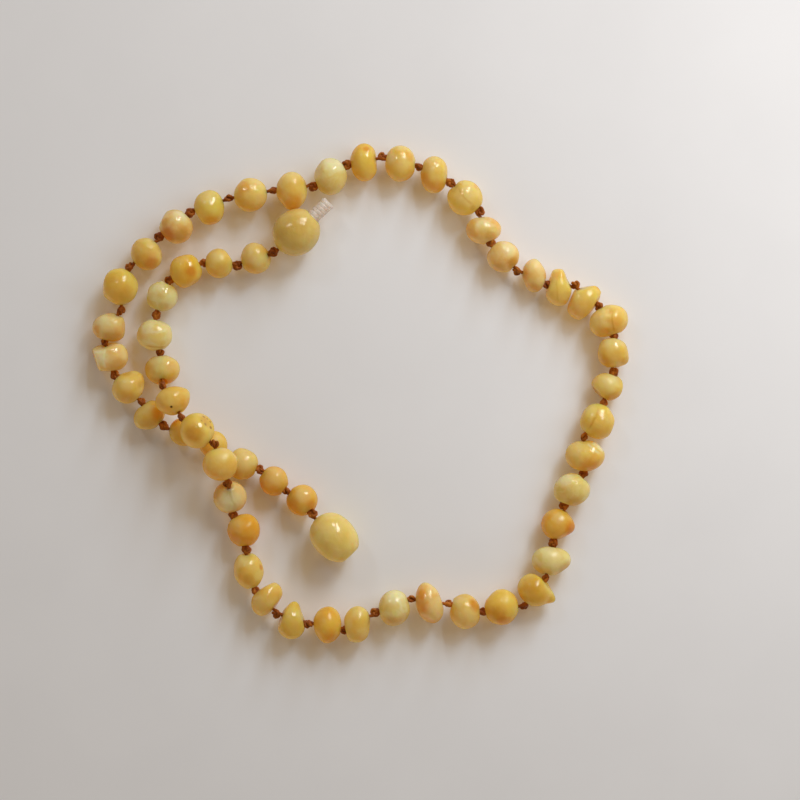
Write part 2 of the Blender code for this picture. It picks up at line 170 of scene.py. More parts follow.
STONES = (
    Stone(-16.5, 21.3, 4.7, 5.0, 4.8, 0, 0, Tint.BUTTER,
          marks=(
              Mark(Tone.OCHRE, 1.2, 1.1, 1.1, 0.35), Mark(Tone.CREAM, -1.4, 1.1, 2.05, 0.6),
              Mark(Tone.CREAM, 0.4, -0.6, 1.89, 0.5), Mark(Tone.ORANGE, -0.6, -1.7, 1.26, 0.25),
          )),
    Stone(-22.3, 20.5, 4.5, 4.7, 4.6, 0, 0, Tint.BUTTER,
          marks=(
              Mark(Tone.CREAM, 0.0, 1.2, 1.42, 0.5), Mark(Tone.ORANGE, -0.8, -1.5, 1.1, 0.25),
          )),
    Stone(-27.5, 19.3, 5.1, 5.4, 4.9, 0, 0, Tint.HONEY,
          cuts=(
              Cut(-62, 0, 2.39),
          ),
          marks=(
              Mark(Tone.RUST, 1.0, -0.2, 1.1, 0.6), Mark(Tone.YELLOW, -1.4, 0.6, 1.57, 0.5),
              Mark(Tone.CREAM, -0.3, 1.9, 1.1, 0.35),
          )),
    Stone(-31.3, 15.3, 5.0, 4.7, 4.5, 0, 0, Tint.MILK,
          marks=(
              Mark(Tone.WHITE, -0.6, 1.3, 1.26, 0.45), Mark(Tone.OCHRE, 0.4, -1.7, 1.1, 0.3),
              Mark(Tone.WHITE, 0.8, 0.2, 1.42, 0.3, MarkKind.SHEET, 60),
          )),
    Stone(-32.4, 9.2, 5.6, 5.2, 5.0, 0, 0, Tint.MILK,
          marks=(
              Mark(Tone.WHITE, -1.1, 1.1, 1.42, 0.6),
              Mark(Tone.WHITE, 0.8, 0.5, 2.21, 0.6, MarkKind.SHEET, 94),
              Mark(Tone.OCHRE, 0.4, -1.9, 2.05, 0.55, MarkKind.SHEET, 82),
              Mark(Tone.WHITE, -0.7, -1.2, 1.42, 0.5, MarkKind.SHEET, 80),
          )),
    Stone(-31.2, 3.8, 5.5, 4.7, 4.6, 0, 0, Tint.BUTTER,
          marks=(
              Mark(Tone.CREAM, -0.8, 1.2, 1.89, 0.55), Mark(Tone.YELLOW, 0.7, 0.1, 2.05, 0.55),
              Mark(Tone.CREAM, 0.6, 0.8, 1.89, 0.4), Mark(Tone.PEACH, 1.8, 0.5, 1.26, 0.6),
              Mark(Tone.ORANGE, 0.4, -2.0, 1.89, 0.5), Mark(Tone.OCHRE, -1.3, -1.8, 1.1, 0.35),
          )),
    Stone(-29.4, -1.2, 5.4, 4.5, 4.4, 12, 2.9, Tint.BUTTER,
          pulls=(
              Pull(35, 0, 0.35, 24),
          ),
          marks=(
              Mark(Tone.ORANGE, 2.2, -0.1, 1.42, 0.4), Mark(Tone.OCHRE, -2.0, -0.5, 1.26, 0.35),
              Mark(Tone.ORANGE, 0.4, -2.0, 1.42, 0.3), Mark(Tone.DARK, -0.0, -0.9, 0.27, 0.95),
          )),
    Stone(-25.4, -5.8, 5.4, 5.6, 5.2, 0, 4.0, Tint.LEMON,
          pulls=(
              Pull(30, 40, -0.25, 22),
          ),
          marks=(
              Mark(Tone.OCHRE, -0.3, -0.4, 1.89, 0.7), Mark(Tone.OCHRE, 1.4, 1.5, 1.42, 0.45),
              Mark(Tone.BROWN, 1.1, 2.2, 0.33, 0.65), Mark(Tone.BROWN, 1.6, 1.8, 0.27, 0.5),
              Mark(Tone.BROWN, 1.4, 1.0, 0.36, 0.65), Mark(Tone.BROWN, 2.2, 0.5, 0.35, 0.75),
              Mark(Tone.BROWN, 2.1, 1.4, 0.25, 0.6), Mark(Tone.BROWN, 0.8, 1.5, 0.24, 0.45),
          )),
    Stone(-21.8, -11.0, 5.6, 5.3, 5.2, 0, 3.9, Tint.BUTTER,
          marks=(
              Mark(Tone.YELLOW, -0.6, 1.3, 2.05, 0.45), Mark(Tone.CREAM, 0.6, 1.2, 1.26, 0.3),
              Mark(Tone.ORANGE, 0.0, -2.3, 1.73, 0.3),
          )),
    Stone(-20.6, -16.3, 5.3, 5.2, 4.9, 0, 0, Tint.CREAM,
          pulls=(
              Pull(90, 20, 0.25, 25),
          ),
          marks=(
              Mark(Tone.WHITE, -0.1, -0.8, 2.21, 0.6), Mark(Tone.OCHRE, -2.1, 0.5, 1.1, 0.45),
              Mark(Tone.CREAM, 1.6, -0.5, 1.89, 0.5),
              Mark(Tone.WHITE, 0.5, 0.5, 2.21, 0.35, MarkKind.SHEET, 10),
              Mark(Tone.OCHRE, 0.5, -0.0, 1.89, 0.35, MarkKind.SHEET, 15),
          )),
    Stone(-18.4, -21.5, 5.2, 5.3, 5.0, 0, 0, Tint.ORANGE,
          marks=(
              Mark(Tone.OCHRE, 0.4, 0.0, 2.52, 0.3), Mark(Tone.CREAM, -1.2, 0.9, 1.73, 0.25),
              Mark(Tone.ORANGE, -2.0, -1.3, 1.57, 0.3),
          )),
    Stone(-17.6, -27.9, 4.7, 5.9, 4.6, 13, 0, Tint.BUTTER,
          marks=(
              Mark(Tone.RUST, 2.0, 0.6, 0.63, 0.55), Mark(Tone.OCHRE, 0.1, -1.3, 1.1, 0.4),
              Mark(Tone.CREAM, -0.9, 1.4, 1.26, 0.3),
          )),
    Stone(-14.7, -32.4, 5.8, 4.4, 5.0, 54, 0, Tint.BUTTER,
          cuts=(
              Cut(-35, 5, 1.71),
          ),
          marks=(
              Mark(Tone.OCHRE, 0.5, -0.1, 2.36, 0.25), Mark(Tone.ORANGE, 1.4, -1.2, 1.42, 0.5),
              Mark(Tone.OCHRE, 2.2, 0.5, 1.1, 0.35), Mark(Tone.CREAM, -1.3, -0.4, 1.42, 0.35),
          )),
    Stone(-10.9, -36.1, 4.6, 5.4, 4.9, 0, 0, Tint.LEMON,
          pulls=(
              Pull(84, 0, 0.75, 26),
          ),
          cuts=(
              Cut(161, 8, 1.72), Cut(20, 10, 2.05),
          ),
          marks=(
              Mark(Tone.CREAM, 0.6, 1.1, 1.57, 0.25), Mark(Tone.OCHRE, 0.1, 0.1, 2.21, 0.3),
              Mark(Tone.ORANGE, 1.2, 2.6, 0.79, 0.45),
              Mark(Tone.BROWN, -1.4, 0.9, 1.73, 0.55, MarkKind.SHEET, 161),
              Mark(Tone.OCHRE, -0.7, -1.6, 1.42, 0.3),
          )),
    Stone(-5.2, -36.4, 4.5, 5.8, 5.2, 0, 0, Tint.HONEY,
          marks=(
              Mark(Tone.ORANGE, 0.1, 2.1, 1.57, 0.4), Mark(Tone.ORANGE, 0.6, -2.0, 1.73, 0.5),
              Mark(Tone.OCHRE, -1.0, 1.0, 1.26, 0.3),
          )),
    Stone(-0.6, -36.3, 4.4, 5.7, 5.0, -10, 0, Tint.BUTTER,
          pulls=(
              Pull(-60, 0, 0.2, 30),
          ),
          marks=(
              Mark(Tone.YELLOW, -1.2, 1.7, 1.26, 0.5), Mark(Tone.CREAM, 0.1, 1.9, 1.26, 0.45),
              Mark(Tone.CREAM, 0.9, -1.3, 1.26, 0.3),
          )),
    Stone(5.3, -33.8, 5.0, 5.8, 5.2, 0, 0, Tint.MILK,
          marks=(
              Mark(Tone.WHITE, -0.0, 2.1, 1.89, 0.65), Mark(Tone.OCHRE, -0.3, -2.3, 1.89, 0.5),
              Mark(Tone.OCHRE, 1.6, -1.4, 1.26, 0.35), Mark(Tone.YELLOW, -1.9, 0.6, 1.26, 0.5),
              Mark(Tone.WHITE, 0.9, 0.8, 1.89, 0.5, MarkKind.SHEET, 20),
          )),
    Stone(10.9, -33.1, 4.3, 6.4, 5.2, 14, 0, Tint.CREAM,
          pulls=(
              Pull(2, 0, -0.3, 22), Pull(110, 0, 0.2, 25),
          ),
          marks=(
              Mark(Tone.ORANGE, -1.4, 1.5, 1.26, 0.65), Mark(Tone.ORANGE, -1.5, -0.4, 1.73, 0.55),
              Mark(Tone.RUST, -1.8, -1.2, 0.79, 0.3), Mark(Tone.CREAM, 0.8, 2.5, 1.57, 0.6),
              Mark(Tone.OCHRE, 0.4, -3.0, 1.26, 0.45),
          )),
    Stone(16.5, -34.3, 4.9, 5.6, 5.0, 8, 0, Tint.BUTTER,
          pulls=(
              Pull(-50, 0, 0.15, 30),
          ),
          marks=(
              Mark(Tone.RUST, 1.5, 1.1, 1.42, 0.6), Mark(Tone.ORANGE, 1.9, -0.3, 1.26, 0.5),
              Mark(Tone.CREAM, -0.0, -0.7, 2.05, 0.4), Mark(Tone.CREAM, -1.0, 1.8, 1.42, 0.45),
          )),
    Stone(22.2, -33.6, 5.6, 5.7, 5.3, 0, 0, Tint.HONEY,
          marks=(
              Mark(Tone.OCHRE, -0.7, -1.0, 1.89, 0.6), Mark(Tone.ORANGE, -2.3, -0.8, 1.1, 0.4),
              Mark(Tone.YELLOW, 0.7, 1.5, 1.42, 0.5), Mark(Tone.RUST, 0.3, -2.1, 1.26, 0.35),
          )),
    Stone(27.5, -30.9, 5.7, 5.3, 5.0, -20, 0, Tint.LEMON,
          pulls=(
              Pull(-28, 0, 0.85, 17),
          ),
          cuts=(
              Cut(38, 10, 2.07),
          ),
          marks=(
              Mark(Tone.OCHRE, -1.6, -1.6, 2.05, 0.55), Mark(Tone.OCHRE, -0.8, 1.2, 1.89, 0.5),
              Mark(Tone.OCHRE, 0.3, -0.0, 2.52, 0.45), Mark(Tone.OCHRE, 2.7, -1.6, 1.26, 0.55),
          )),
    Stone(29.8, -26.4, 5.7, 4.7, 4.6, 0, 0, Tint.MILK,
          pulls=(
              Pull(6, 0, 0.6, 34),
          ),
          marks=(
              Mark(Tone.CREAM, 1.0, 1.1, 1.89, 0.4), Mark(Tone.OCHRE, 2.4, -1.1, 1.57, 0.4),
              Mark(Tone.OCHRE, -2.0, -1.2, 1.42, 0.35),
          )),
    Stone(31.1, -20.6, 5.1, 5.0, 4.8, 0, 0, Tint.ORANGE,
          pulls=(
              Pull(-4, 0, 0.22, 30),
          ),
          cuts=(
              Cut(-62, 6, 2.29),
          ),
          marks=(
              Mark(Tone.RUST, 2.1, -0.6, 1.73, 0.6), Mark(Tone.ORANGE, 0.5, 2.1, 1.1, 0.5),
              # painted highlight: the cream mark just above the middle
              Mark(Tone.CREAM, -0.1, 1.1, 1.26, 0.45), Mark(Tone.YELLOW, -1.4, -0.3, 1.57, 0.3),
          )),
    Stone(33.4, -15.1, 5.6, 5.2, 5.0, 0, 0, Tint.MILK,
          pulls=(
              Pull(200, 0, 0.25, 30), Pull(44, 8, -0.3, 18),
          ),
          marks=(
              # painted sheen: the white mark at the upper left
              Mark(Tone.WHITE, -1.2, 1.8, 1.73, 0.6), Mark(Tone.OCHRE, 2.4, 1.9, 0.79, 0.5),
              Mark(Tone.OCHRE, 0.2, -2.0, 1.57, 0.4),
          )),
    Stone(35.4, -9.8, 6.3, 5.0, 5.2, 0, 0, Tint.BUTTER,
          pulls=(
              Pull(150, 0, 0.15, 30),
          ),
          marks=(
              Mark(Tone.WHITE, 1.9, 1.5, 1.89, 0.7, MarkKind.SHEET, 50),
              Mark(Tone.WHITE, 1.1, 1.1, 1.73, 0.6, MarkKind.SHEET, 50),
              Mark(Tone.ORANGE, 0.6, -1.8, 2.05, 0.6), Mark(Tone.CREAM, -1.6, 0.9, 1.42, 0.35),
          )),
    Stone(37.4, -4.4, 5.6, 5.7, 5.3, 0, 0, Tint.LEMON,
          marks=(
              Mark(Tone.OCHRE, -0.6, 0.5, 2.52, 0.65, MarkKind.SHEET, 153),
              Mark(Tone.OCHRE, 0.8, -1.0, 2.68, 0.3), Mark(Tone.CREAM, 1.4, 0.5, 1.42, 0.3),
              Mark(Tone.CREAM, -1.2, 1.8, 1.1, 0.35), Mark(Tone.YELLOW, -1.9, -1.3, 1.26, 0.4),
          )),
    Stone(38.9, 1.1, 5.3, 4.4, 4.4, 0, 0, Tint.BUTTER,
          cuts=(
              Cut(222, 5, 1.79),
          ),
          marks=(
              Mark(Tone.BROWN, -1.6, -0.9, 1.89, 0.5, MarkKind.SHEET, 216),
              Mark(Tone.CREAM, 0.4, 1.0, 1.89, 0.5), Mark(Tone.OCHRE, 0.7, -1.8, 1.42, 0.35),
          )),
    Stone(39.7, 6.5, 4.9, 4.9, 4.8, 0, 0, Tint.BUTTER,
          pulls=(
              Pull(-38, 0, 0.4, 24),
          ),
          marks=(
              Mark(Tone.OCHRE, -1.3, -1.7, 1.57, 0.45), Mark(Tone.OCHRE, 2.0, -1.4, 0.95, 0.35),
              Mark(Tone.CREAM, -0.1, 1.5, 1.73, 0.5),
          )),
    Stone(39.1, 11.4, 6.3, 5.0, 5.0, 20, 0, Tint.BUTTER,
          pulls=(
              Pull(85, 50, -0.4, 16), Pull(200, 88, -0.35, 14), Pull(-95, 45, -0.35, 16),
          ),
          marks=(
              Mark(Tone.ORANGE, 1.3, 0.0, 1.1, 0.4),
              Mark(Tone.OCHRE, 0.4, -0.3, 2.05, 0.6, MarkKind.SHEET, 5),
              Mark(Tone.CREAM, -1.5, 0.6, 1.73, 0.5), Mark(Tone.ORANGE, -1.0, -1.9, 1.42, 0.4),
          )),
    Stone(35.3, 14.5, 6.2, 5.2, 4.7, 48, 0, Tint.BUTTER,
          cuts=(
              Cut(106, 12, 2.14), Cut(-29, 8, 1.78), Cut(163, 8, 2.28),
          ),
          marks=(
              Mark(Tone.YELLOW, 0.9, 1.5, 1.89, 0.5), Mark(Tone.ORANGE, 2.0, 2.3, 1.1, 0.45),
              Mark(Tone.PEACH, -1.2, -2.0, 1.57, 0.45), Mark(Tone.OCHRE, 0.9, -0.4, 1.26, 0.25),
          )),
    Stone(31.3, 16.7, 4.8, 5.9, 4.6, 0, 0, Tint.BUTTER,
          cuts=(
              Cut(22, 8, 1.73), Cut(165, 8, 1.78),
          ),
          marks=(
              Mark(Tone.OCHRE, -0.5, -0.7, 2.21, 0.45, MarkKind.SHEET, 5),
              Mark(Tone.ORANGE, -0.3, 2.1, 1.1, 0.3), Mark(Tone.YELLOW, 0.1, -0.4, 2.36, 0.5),
          )),
    Stone(27.4, 18.6, 3.8, 5.2, 4.5, 0, 0, Tint.CREAM,
          marks=(
              Mark(Tone.ORANGE, 1.4, -0.7, 1.26, 0.5), Mark(Tone.CREAM, -0.2, 1.6, 1.57, 0.7),
              Mark(Tone.ORANGE, -1.6, 0.2, 0.95, 0.4), Mark(Tone.OCHRE, -0.1, -2.1, 1.42, 0.45),
          )),
    Stone(22.5, 21.6, 5.1, 5.0, 4.8, 0, 0, Tint.CREAM,
          marks=(
              Mark(Tone.WHITE, 0.7, 1.3, 1.73, 0.5), Mark(Tone.OCHRE, 1.4, -1.2, 1.42, 0.6),
              Mark(Tone.OCHRE, -0.7, -2.0, 1.73, 0.5),
          )),
    Stone(19.5, 25.7, 5.5, 4.3, 4.5, 0, 0, Tint.CREAM,
          pulls=(
              Pull(150, 0, 0.15, 30),
          ),
          marks=(
              Mark(Tone.ORANGE, 1.7, 1.3, 1.1, 0.55), Mark(Tone.ORANGE, 0.3, 1.9, 0.79, 0.4),
              # painted highlight: the white mark just above the middle
              Mark(Tone.WHITE, -0.3, 0.8, 1.42, 0.5), Mark(Tone.YELLOW, -0.0, -0.3, 1.57, 0.5),
              Mark(Tone.OCHRE, 0.8, -0.9, 1.1, 0.35),
          )),
    Stone(16.5, 30.8, 5.6, 5.5, 5.2, 43, 0, Tint.LEMON,
          marks=(
              Mark(Tone.YELLOW, -1.0, -1.1, 2.83, 0.8), Mark(Tone.CREAM, 0.3, 0.6, 2.68, 0.55),
              Mark(Tone.OCHRE, -0.2, -0.0, 2.36, 0.4, MarkKind.SHEET, 38),
              Mark(Tone.ORANGE, 1.9, 1.7, 0.95, 0.4), Mark(Tone.OCHRE, 1.2, -1.7, 0.63, 0.4),
          )),
    Stone(11.6, 34.5, 4.5, 5.8, 4.8, 0, 0, Tint.BUTTER,
          marks=(
              Mark(Tone.ORANGE, -1.6, -1.0, 1.73, 0.5), Mark(Tone.ORANGE, 0.5, -2.1, 1.73, 0.5),
              Mark(Tone.CREAM, -0.5, 1.8, 1.73, 0.5), Mark(Tone.YELLOW, 1.6, 1.0, 0.95, 0.5),
          )),
    Stone(6.3, 36.2, 4.9, 5.8, 5.1, 0, 0, Tint.BUTTER,
          marks=(
              Mark(Tone.ORANGE, 1.5, 1.0, 1.1, 0.55), Mark(Tone.WHITE, -1.6, 0.6, 1.26, 0.35),
              Mark(Tone.CREAM, 0.1, 2.5, 1.26, 0.45), Mark(Tone.YELLOW, -0.5, -1.3, 1.89, 0.5),
              Mark(Tone.CREAM, 0.1, 0.1, 1.57, 0.3),
          )),
    Stone(0.6, 36.4, 4.4, 6.0, 5.0, 0, 0, Tint.HONEY,
          marks=(
              Mark(Tone.RUST, 0.4, 2.0, 0.79, 0.5), Mark(Tone.ORANGE, 1.4, -0.3, 1.42, 0.35),
              Mark(Tone.YELLOW, 0.1, -0.9, 2.36, 0.45), Mark(Tone.OCHRE, -1.1, -1.4, 1.42, 0.2),
              Mark(Tone.YELLOW, -0.5, 1.0, 1.26, 0.5), Mark(Tone.RUST, 2.0, 0.7, 0.63, 0.4),
          )),
    Stone(-4.7, 34.2, 5.2, 5.9, 5.2, 0, 0, Tint.MILK,
          marks=(
              Mark(Tone.WHITE, 0.9, 1.9, 1.89, 0.55), Mark(Tone.YELLOW, -2.1, -0.9, 1.42, 0.25),
          )),
    Stone(-10.8, 31.9, 4.9, 6.0, 5.2, 0, 0, Tint.BUTTER,
          marks=(
              Mark(Tone.ORANGE, 0.3, -2.1, 2.05, 0.5), Mark(Tone.CREAM, 0.0, 2.0, 1.42, 0.4),
              Mark(Tone.ORANGE, -2.0, -0.3, 0.95, 0.3),
          )),
    Stone(-17.4, 31.3, 5.4, 5.4, 5.2, 0, 0, Tint.BUTTER,
          marks=(
              Mark(Tone.ORANGE, -0.8, 1.2, 1.57, 0.45), Mark(Tone.CREAM, 1.0, 1.7, 1.42, 0.4),
              Mark(Tone.PEACH, 1.9, -0.8, 1.42, 0.4),
          )),
    Stone(-23.8, 29.3, 4.8, 5.5, 5.0, 0, 0, Tint.LEMON,
          marks=(
              Mark(Tone.YELLOW, -0.0, 0.1, 2.52, 0.5), Mark(Tone.ORANGE, 0.4, -2.3, 1.57, 0.4),
              Mark(Tone.CREAM, -0.2, 1.5, 1.73, 0.45),
          )),
    Stone(-29.0, 26.3, 5.6, 5.1, 5.1, -49, 0, Tint.CREAM,
          marks=(
              Mark(Tone.WHITE, 0.6, 1.7, 1.57, 0.6), Mark(Tone.RUST, -1.3, -1.5, 1.89, 0.7),
              Mark(Tone.OCHRE, 1.1, -1.5, 1.73, 0.65), Mark(Tone.OCHRE, -1.6, 0.7, 0.95, 0.4),
          )),
    Stone(-33.7, 22.0, 5.3, 4.9, 4.9, -50, 0, Tint.BUTTER,
          marks=(
              Mark(Tone.OCHRE, -0.1, -0.0, 2.52, 0.35), Mark(Tone.OCHRE, 2.0, 0.8, 0.79, 0.4),
              Mark(Tone.PEACH, 1.3, -0.3, 1.1, 0.45), Mark(Tone.RUST, 0.9, -1.6, 1.42, 0.5),
              Mark(Tone.OCHRE, -0.7, -1.9, 1.42, 0.4),
          )),
    Stone(-37.9, 16.8, 5.7, 5.8, 5.5, 0, 0, Tint.LEMON,
          cuts=(
              Cut(180, 10, 2.6),
          ),
          marks=(
              Mark(Tone.OCHRE, 0.0, -0.5, 2.68, 0.3), Mark(Tone.OCHRE, 1.3, -1.3, 1.73, 0.35),
              Mark(Tone.OCHRE, -1.5, 1.1, 1.42, 0.3),
          )),
    Stone(-39.5, 10.4, 5.6, 4.8, 4.5, 0, 0, Tint.CREAM,
          cuts=(
              Cut(0, 8, 2.37),
          ),
          marks=(
              Mark(Tone.WHITE, -0.9, 1.0, 1.57, 0.4), Mark(Tone.OCHRE, 0.5, -1.7, 1.89, 0.6),
              Mark(Tone.ORANGE, 1.6, -0.6, 1.1, 0.35),
          )),
    Stone(-39.7, 5.8, 6.2, 5.4, 4.6, 0, 0, Tint.CREAM,
          cuts=(
              Cut(105, 18, 1.78), Cut(197, 8, 2.13), Cut(-88, 0, 2.35),
          ),
          marks=(
              Mark(Tone.WHITE, -1.3, -0.2, 1.73, 0.85),
              Mark(Tone.WHITE, -0.5, -0.4, 1.89, 0.8, MarkKind.SHEET, 0),
              Mark(Tone.OCHRE, 1.7, -1.3, 1.73, 0.5), Mark(Tone.PEACH, 1.2, 1.2, 1.26, 0.4),
          )),
    Stone(-36.6, 1.0, 5.3, 4.9, 4.8, 45, 0, Tint.BUTTER,
          pulls=(
              Pull(45, 0, 0.3, 26),
          ),
          cuts=(
              Cut(100, 30, 2.21),
          ),
          marks=(
              Mark(Tone.OCHRE, -0.2, 2.2, 1.1, 0.5), Mark(Tone.OCHRE, 2.2, 0.5, 0.95, 0.45),
              Mark(Tone.OCHRE, -0.6, -1.9, 1.73, 0.35), Mark(Tone.CREAM, -0.0, 0.5, 1.42, 0.4),
          )),
    Stone(-33.2, -3.4, 5.6, 4.2, 4.3, 40, 0, Tint.BUTTER,
          marks=(
              Mark(Tone.ORANGE, 1.6, 0.0, 1.42, 0.6), Mark(Tone.OCHRE, -0.3, -1.6, 1.57, 0.35),
              Mark(Tone.CREAM, -0.4, 1.0, 1.42, 0.35),
          )),
    Stone(-27.9, -6.0, 4.5, 4.4, 4.3, 0, 0, Tint.HONEY,
          marks=(
              Mark(Tone.ORANGE, -1.0, 1.8, 1.26, 0.5), Mark(Tone.OCHRE, -0.5, -1.5, 1.42, 0.3),
          )),
    Stone(-23.2, -8.2, 4.4, 4.6, 4.3, 0, 0, Tint.HONEY,
          marks=(
              Mark(Tone.ORANGE, -1.3, -1.2, 1.57, 0.5), Mark(Tone.CREAM, 0.9, 1.0, 1.26, 0.45),
          )),
    Stone(-18.6, -11.1, 4.9, 5.1, 4.5, 0, 0, Tint.BUTTER,
          marks=(
              Mark(Tone.ORANGE, 1.4, -1.3, 1.57, 0.3), Mark(Tone.CREAM, 0.4, 0.9, 2.36, 0.5),
          )),
    Stone(-13.6, -13.8, 4.7, 4.8, 4.6, 0, 0, Tint.ORANGE,
          marks=(
              Mark(Tone.ORANGE, -1.6, -1.2, 1.57, 0.4), Mark(Tone.CREAM, 0.1, 1.0, 2.21, 0.4),
              Mark(Tone.RUST, -1.9, -0.5, 0.95, 0.35),
          )),
    Stone(-9.2, -16.8, 4.9, 4.9, 4.7, 0, 0, Tint.ORANGE,
          marks=(
              Mark(Tone.ORANGE, -1.6, -1.2, 1.73, 0.45), Mark(Tone.CREAM, 0.2, 1.0, 1.73, 0.45),
              Mark(Tone.RUST, 1.6, -0.9, 1.26, 0.4),
          )),
)

# Knots along the strand as seen from above, from the stud half to the socket half
KNOT_ROUTE = (
    (-13.6, 22.1), (-19.4, 20.3), (-24.7, 20.7), (-30.0, 17.8), (-32.3, 12.4), (-31.7, 6.5),
    (-31.0, 1.4), (-27.9, -3.7), (-22.8, -7.9), (-20.7, -14.0), (-19.9, -19.1), (-18.1, -24.6),
    (-16.6, -31.2), (-13.2, -34.6), (-8.2, -36.2), (-2.5, -37.1), (2.4, -34.6), (8.0, -32.4),
    (14.0, -33.2), (19.4, -34.5), (25.8, -33.4), (29.2, -29.2), (30.5, -23.6), (32.2, -17.6),
    (35.3, -12.6), (35.2, -6.8), (38.2, -1.5), (39.8, 3.4), (40.1, 9.1), (37.7, 13.8),
    (33.8, 17.0), (29.5, 17.3), (24.7, 19.4), (20.4, 23.7), (18.7, 28.6), (14.3, 33.3),
    (9.2, 35.8), (3.5, 37.2), (-2.1, 35.9), (-7.5, 32.7), (-13.7, 32.0), (-20.7, 30.7),
    (-26.9, 28.6), (-31.6, 24.6), (-36.3, 19.9), (-37.8, 13.1), (-40.3, 8.2), (-38.8, 2.8),
    (-34.5, -1.4), (-31.1, -5.2), (-25.7, -7.3), (-20.9, -9.8), (-15.9, -12.1), (-11.6, -15.3),
    (-7.6, -19.0),
)
FIRST_KNOT_HEIGHT = 3.3
LAST_KNOT_HEIGHT = 3.1
STUD_BARREL_MIDDLE = np.array((-10.14, 25.25, 3.6))
SOCKET_BARREL_MIDDLE = np.array((-4.2, -22.5, 3.4))


def unit(vector: np.ndarray) -> np.ndarray:
    """Vector of length one, or an array of them.

    Args:
        vector: one vector, or one vector a row.

    Returns:
        The same, each scaled to length one.
    """
    return vector / np.linalg.norm(vector, axis=-1, keepdims=True)


def plan_direction(azimuth: float, rise: float) -> np.ndarray:
    """Unit vector for a direction in the plan and its rise above it.

    Args:
        azimuth: degrees from +X towards +Y.
        rise: degrees above the plan.

    Returns:
        The unit vector.
    """
    flat = math.cos(math.radians(rise))
    turn = math.radians(azimuth)
    return np.array((flat * math.cos(turn), flat * math.sin(turn), math.sin(math.radians(rise))))


def soft_least(first: np.ndarray, second: np.ndarray, blend: float) -> np.ndarray:
    """Smaller of two values, with the corner between them rounded.

    Args:
        first: one array of values.
        second: the other, or a single value.
        blend: width over which the two run together.

    Returns:
        The rounded minimum.
    """
    near = np.clip(0.5 + 0.5 * (second - first) / blend, 0, 1)
    return second + (first - second) * near - blend * near * (1 - near)


@dataclass
class Strand:
    """The line that the thread follows: its knots, and its direction through each."""

    knots: np.ndarray = field(init=False)
    bends: np.ndarray = field(init=False)
    line: np.ndarray = field(init=False)

    def __post_init__(self) -> None:
        """Work the knots' heights and directions out of the stones."""
        middles = [stone.middle[2] for stone in STONES]
        heights = [FIRST_KNOT_HEIGHT]
        heights += [(low + high) / 2 for low, high in zip(middles, middles[1:])]
        heights.append(LAST_KNOT_HEIGHT)
        self.knots = np.array([(x, y, z) for (x, y), z in zip(KNOT_ROUTE, heights)])
        self.line = np.vstack((STUD_BARREL_MIDDLE, self.knots, SOCKET_BARREL_MIDDLE))
        steps = unit(np.diff(self.line, axis=0))
        self.bends = unit(steps[:-1] + steps[1:])


class NodeBench:
    """Short ways to add and join shader nodes in one node tree."""

    def __init__(self, tree: bpy.types.NodeTree) -> None:
        """Work on a node tree.

        Args:
            tree: the material's or group's tree.
        """
        self.tree = tree

    def add(self, kind: str, settings: dict | None = None, **inputs: object) -> bpy.types.Node:
        """Add a node.

        Args:
            kind: the node's Blender type.
            settings: the node's own properties.
            inputs: socket values or sockets to link, by socket name with _ for a space.

        Returns:
            The node.
        """
        node = self.tree.nodes.new(kind)
        for name, value in (settings or {}).items():
            setattr(node, name, value)
        for name, value in inputs.items():
            self.feed(node.inputs[name.replace("_", " ")], value)
        return node

    def feed(self, socket: bpy.types.NodeSocket, value: object) -> None:
        """Give a socket a value or a link.

        Args:
            socket: the input socket.
            value: an output socket, or a plain value.
        """
        if isinstance(value, bpy.types.NodeSocket):
            self.tree.links.new(value, socket)
        elif isinstance(value, tuple) and socket.type == "RGBA" and len(value) == 3:
            socket.default_value = (*value, 1.0)
        else:
            socket.default_value = value

    def math(self, operation: str, first: object, second: object = 0.0) -> bpy.types.NodeSocket:
        """Add a Math node.

        Args:
            operation: the Math node's operation.
            first: first value or socket.
            second: second value or socket.

        Returns:
            The result socket.
        """
        node = self.tree.nodes.new("ShaderNodeMath")
        node.operation = operation
        self.feed(node.inputs[0], first)
        self.feed(node.inputs[1], second)
        return node.outputs[0]

    def vector(self, operation: str, first: object, second: object = None) -> bpy.types.Node:
        """Add a Vector Math node.

        Args:
            operation: the node's operation.
            first: first vector or socket.
            second: second vector, socket or scale, if there is one.

        Returns:
            The node, whose output depends on its operation.
        """
        node = self.tree.nodes.new("ShaderNodeVectorMath")
        node.operation = operation
        self.feed(node.inputs[0], first)
        if second is not None:
            self.feed(node.inputs["Scale"] if operation == "SCALE" else node.inputs[1], second)
        return node

    def smooth(self, value: object, low: object, high: object,
               to_low: float = 0.0, to_high: float = 1.0) -> bpy.types.NodeSocket:
        """Map a range onto another with soft ends.

        Args:
            value: the value to map.
            low: where the soft step starts.
            high: where it ends.
            to_low: result at the start.
            to_high: result at the end.

        Returns:
            The result socket.
        """
        node = self.tree.nodes.new("ShaderNodeMapRange")
        node.interpolation_type = "SMOOTHSTEP"
        fed = {"Value": value, "From Min": low, "From Max": high, "To Min": to_low, "To Max": to_high}
        for name, given in fed.items():
            self.feed(node.inputs[name], given)
        return node.outputs["Result"]

    def blend(self, factor: object, first: object, second: object) -> bpy.types.NodeSocket:
        """Mix two colours.

        Args:
            factor: share of the second colour.
            first: the first colour or socket.
            second: the second colour or socket.

        Returns:
            The mixed colour socket.
        """
        node = self.tree.nodes.new("ShaderNodeMix")
        node.data_type = "RGBA"
        self.feed(node.inputs[0], factor)
        self.feed(node.inputs[6], first)
        self.feed(node.inputs[7], second)
        return node.outputs[2]


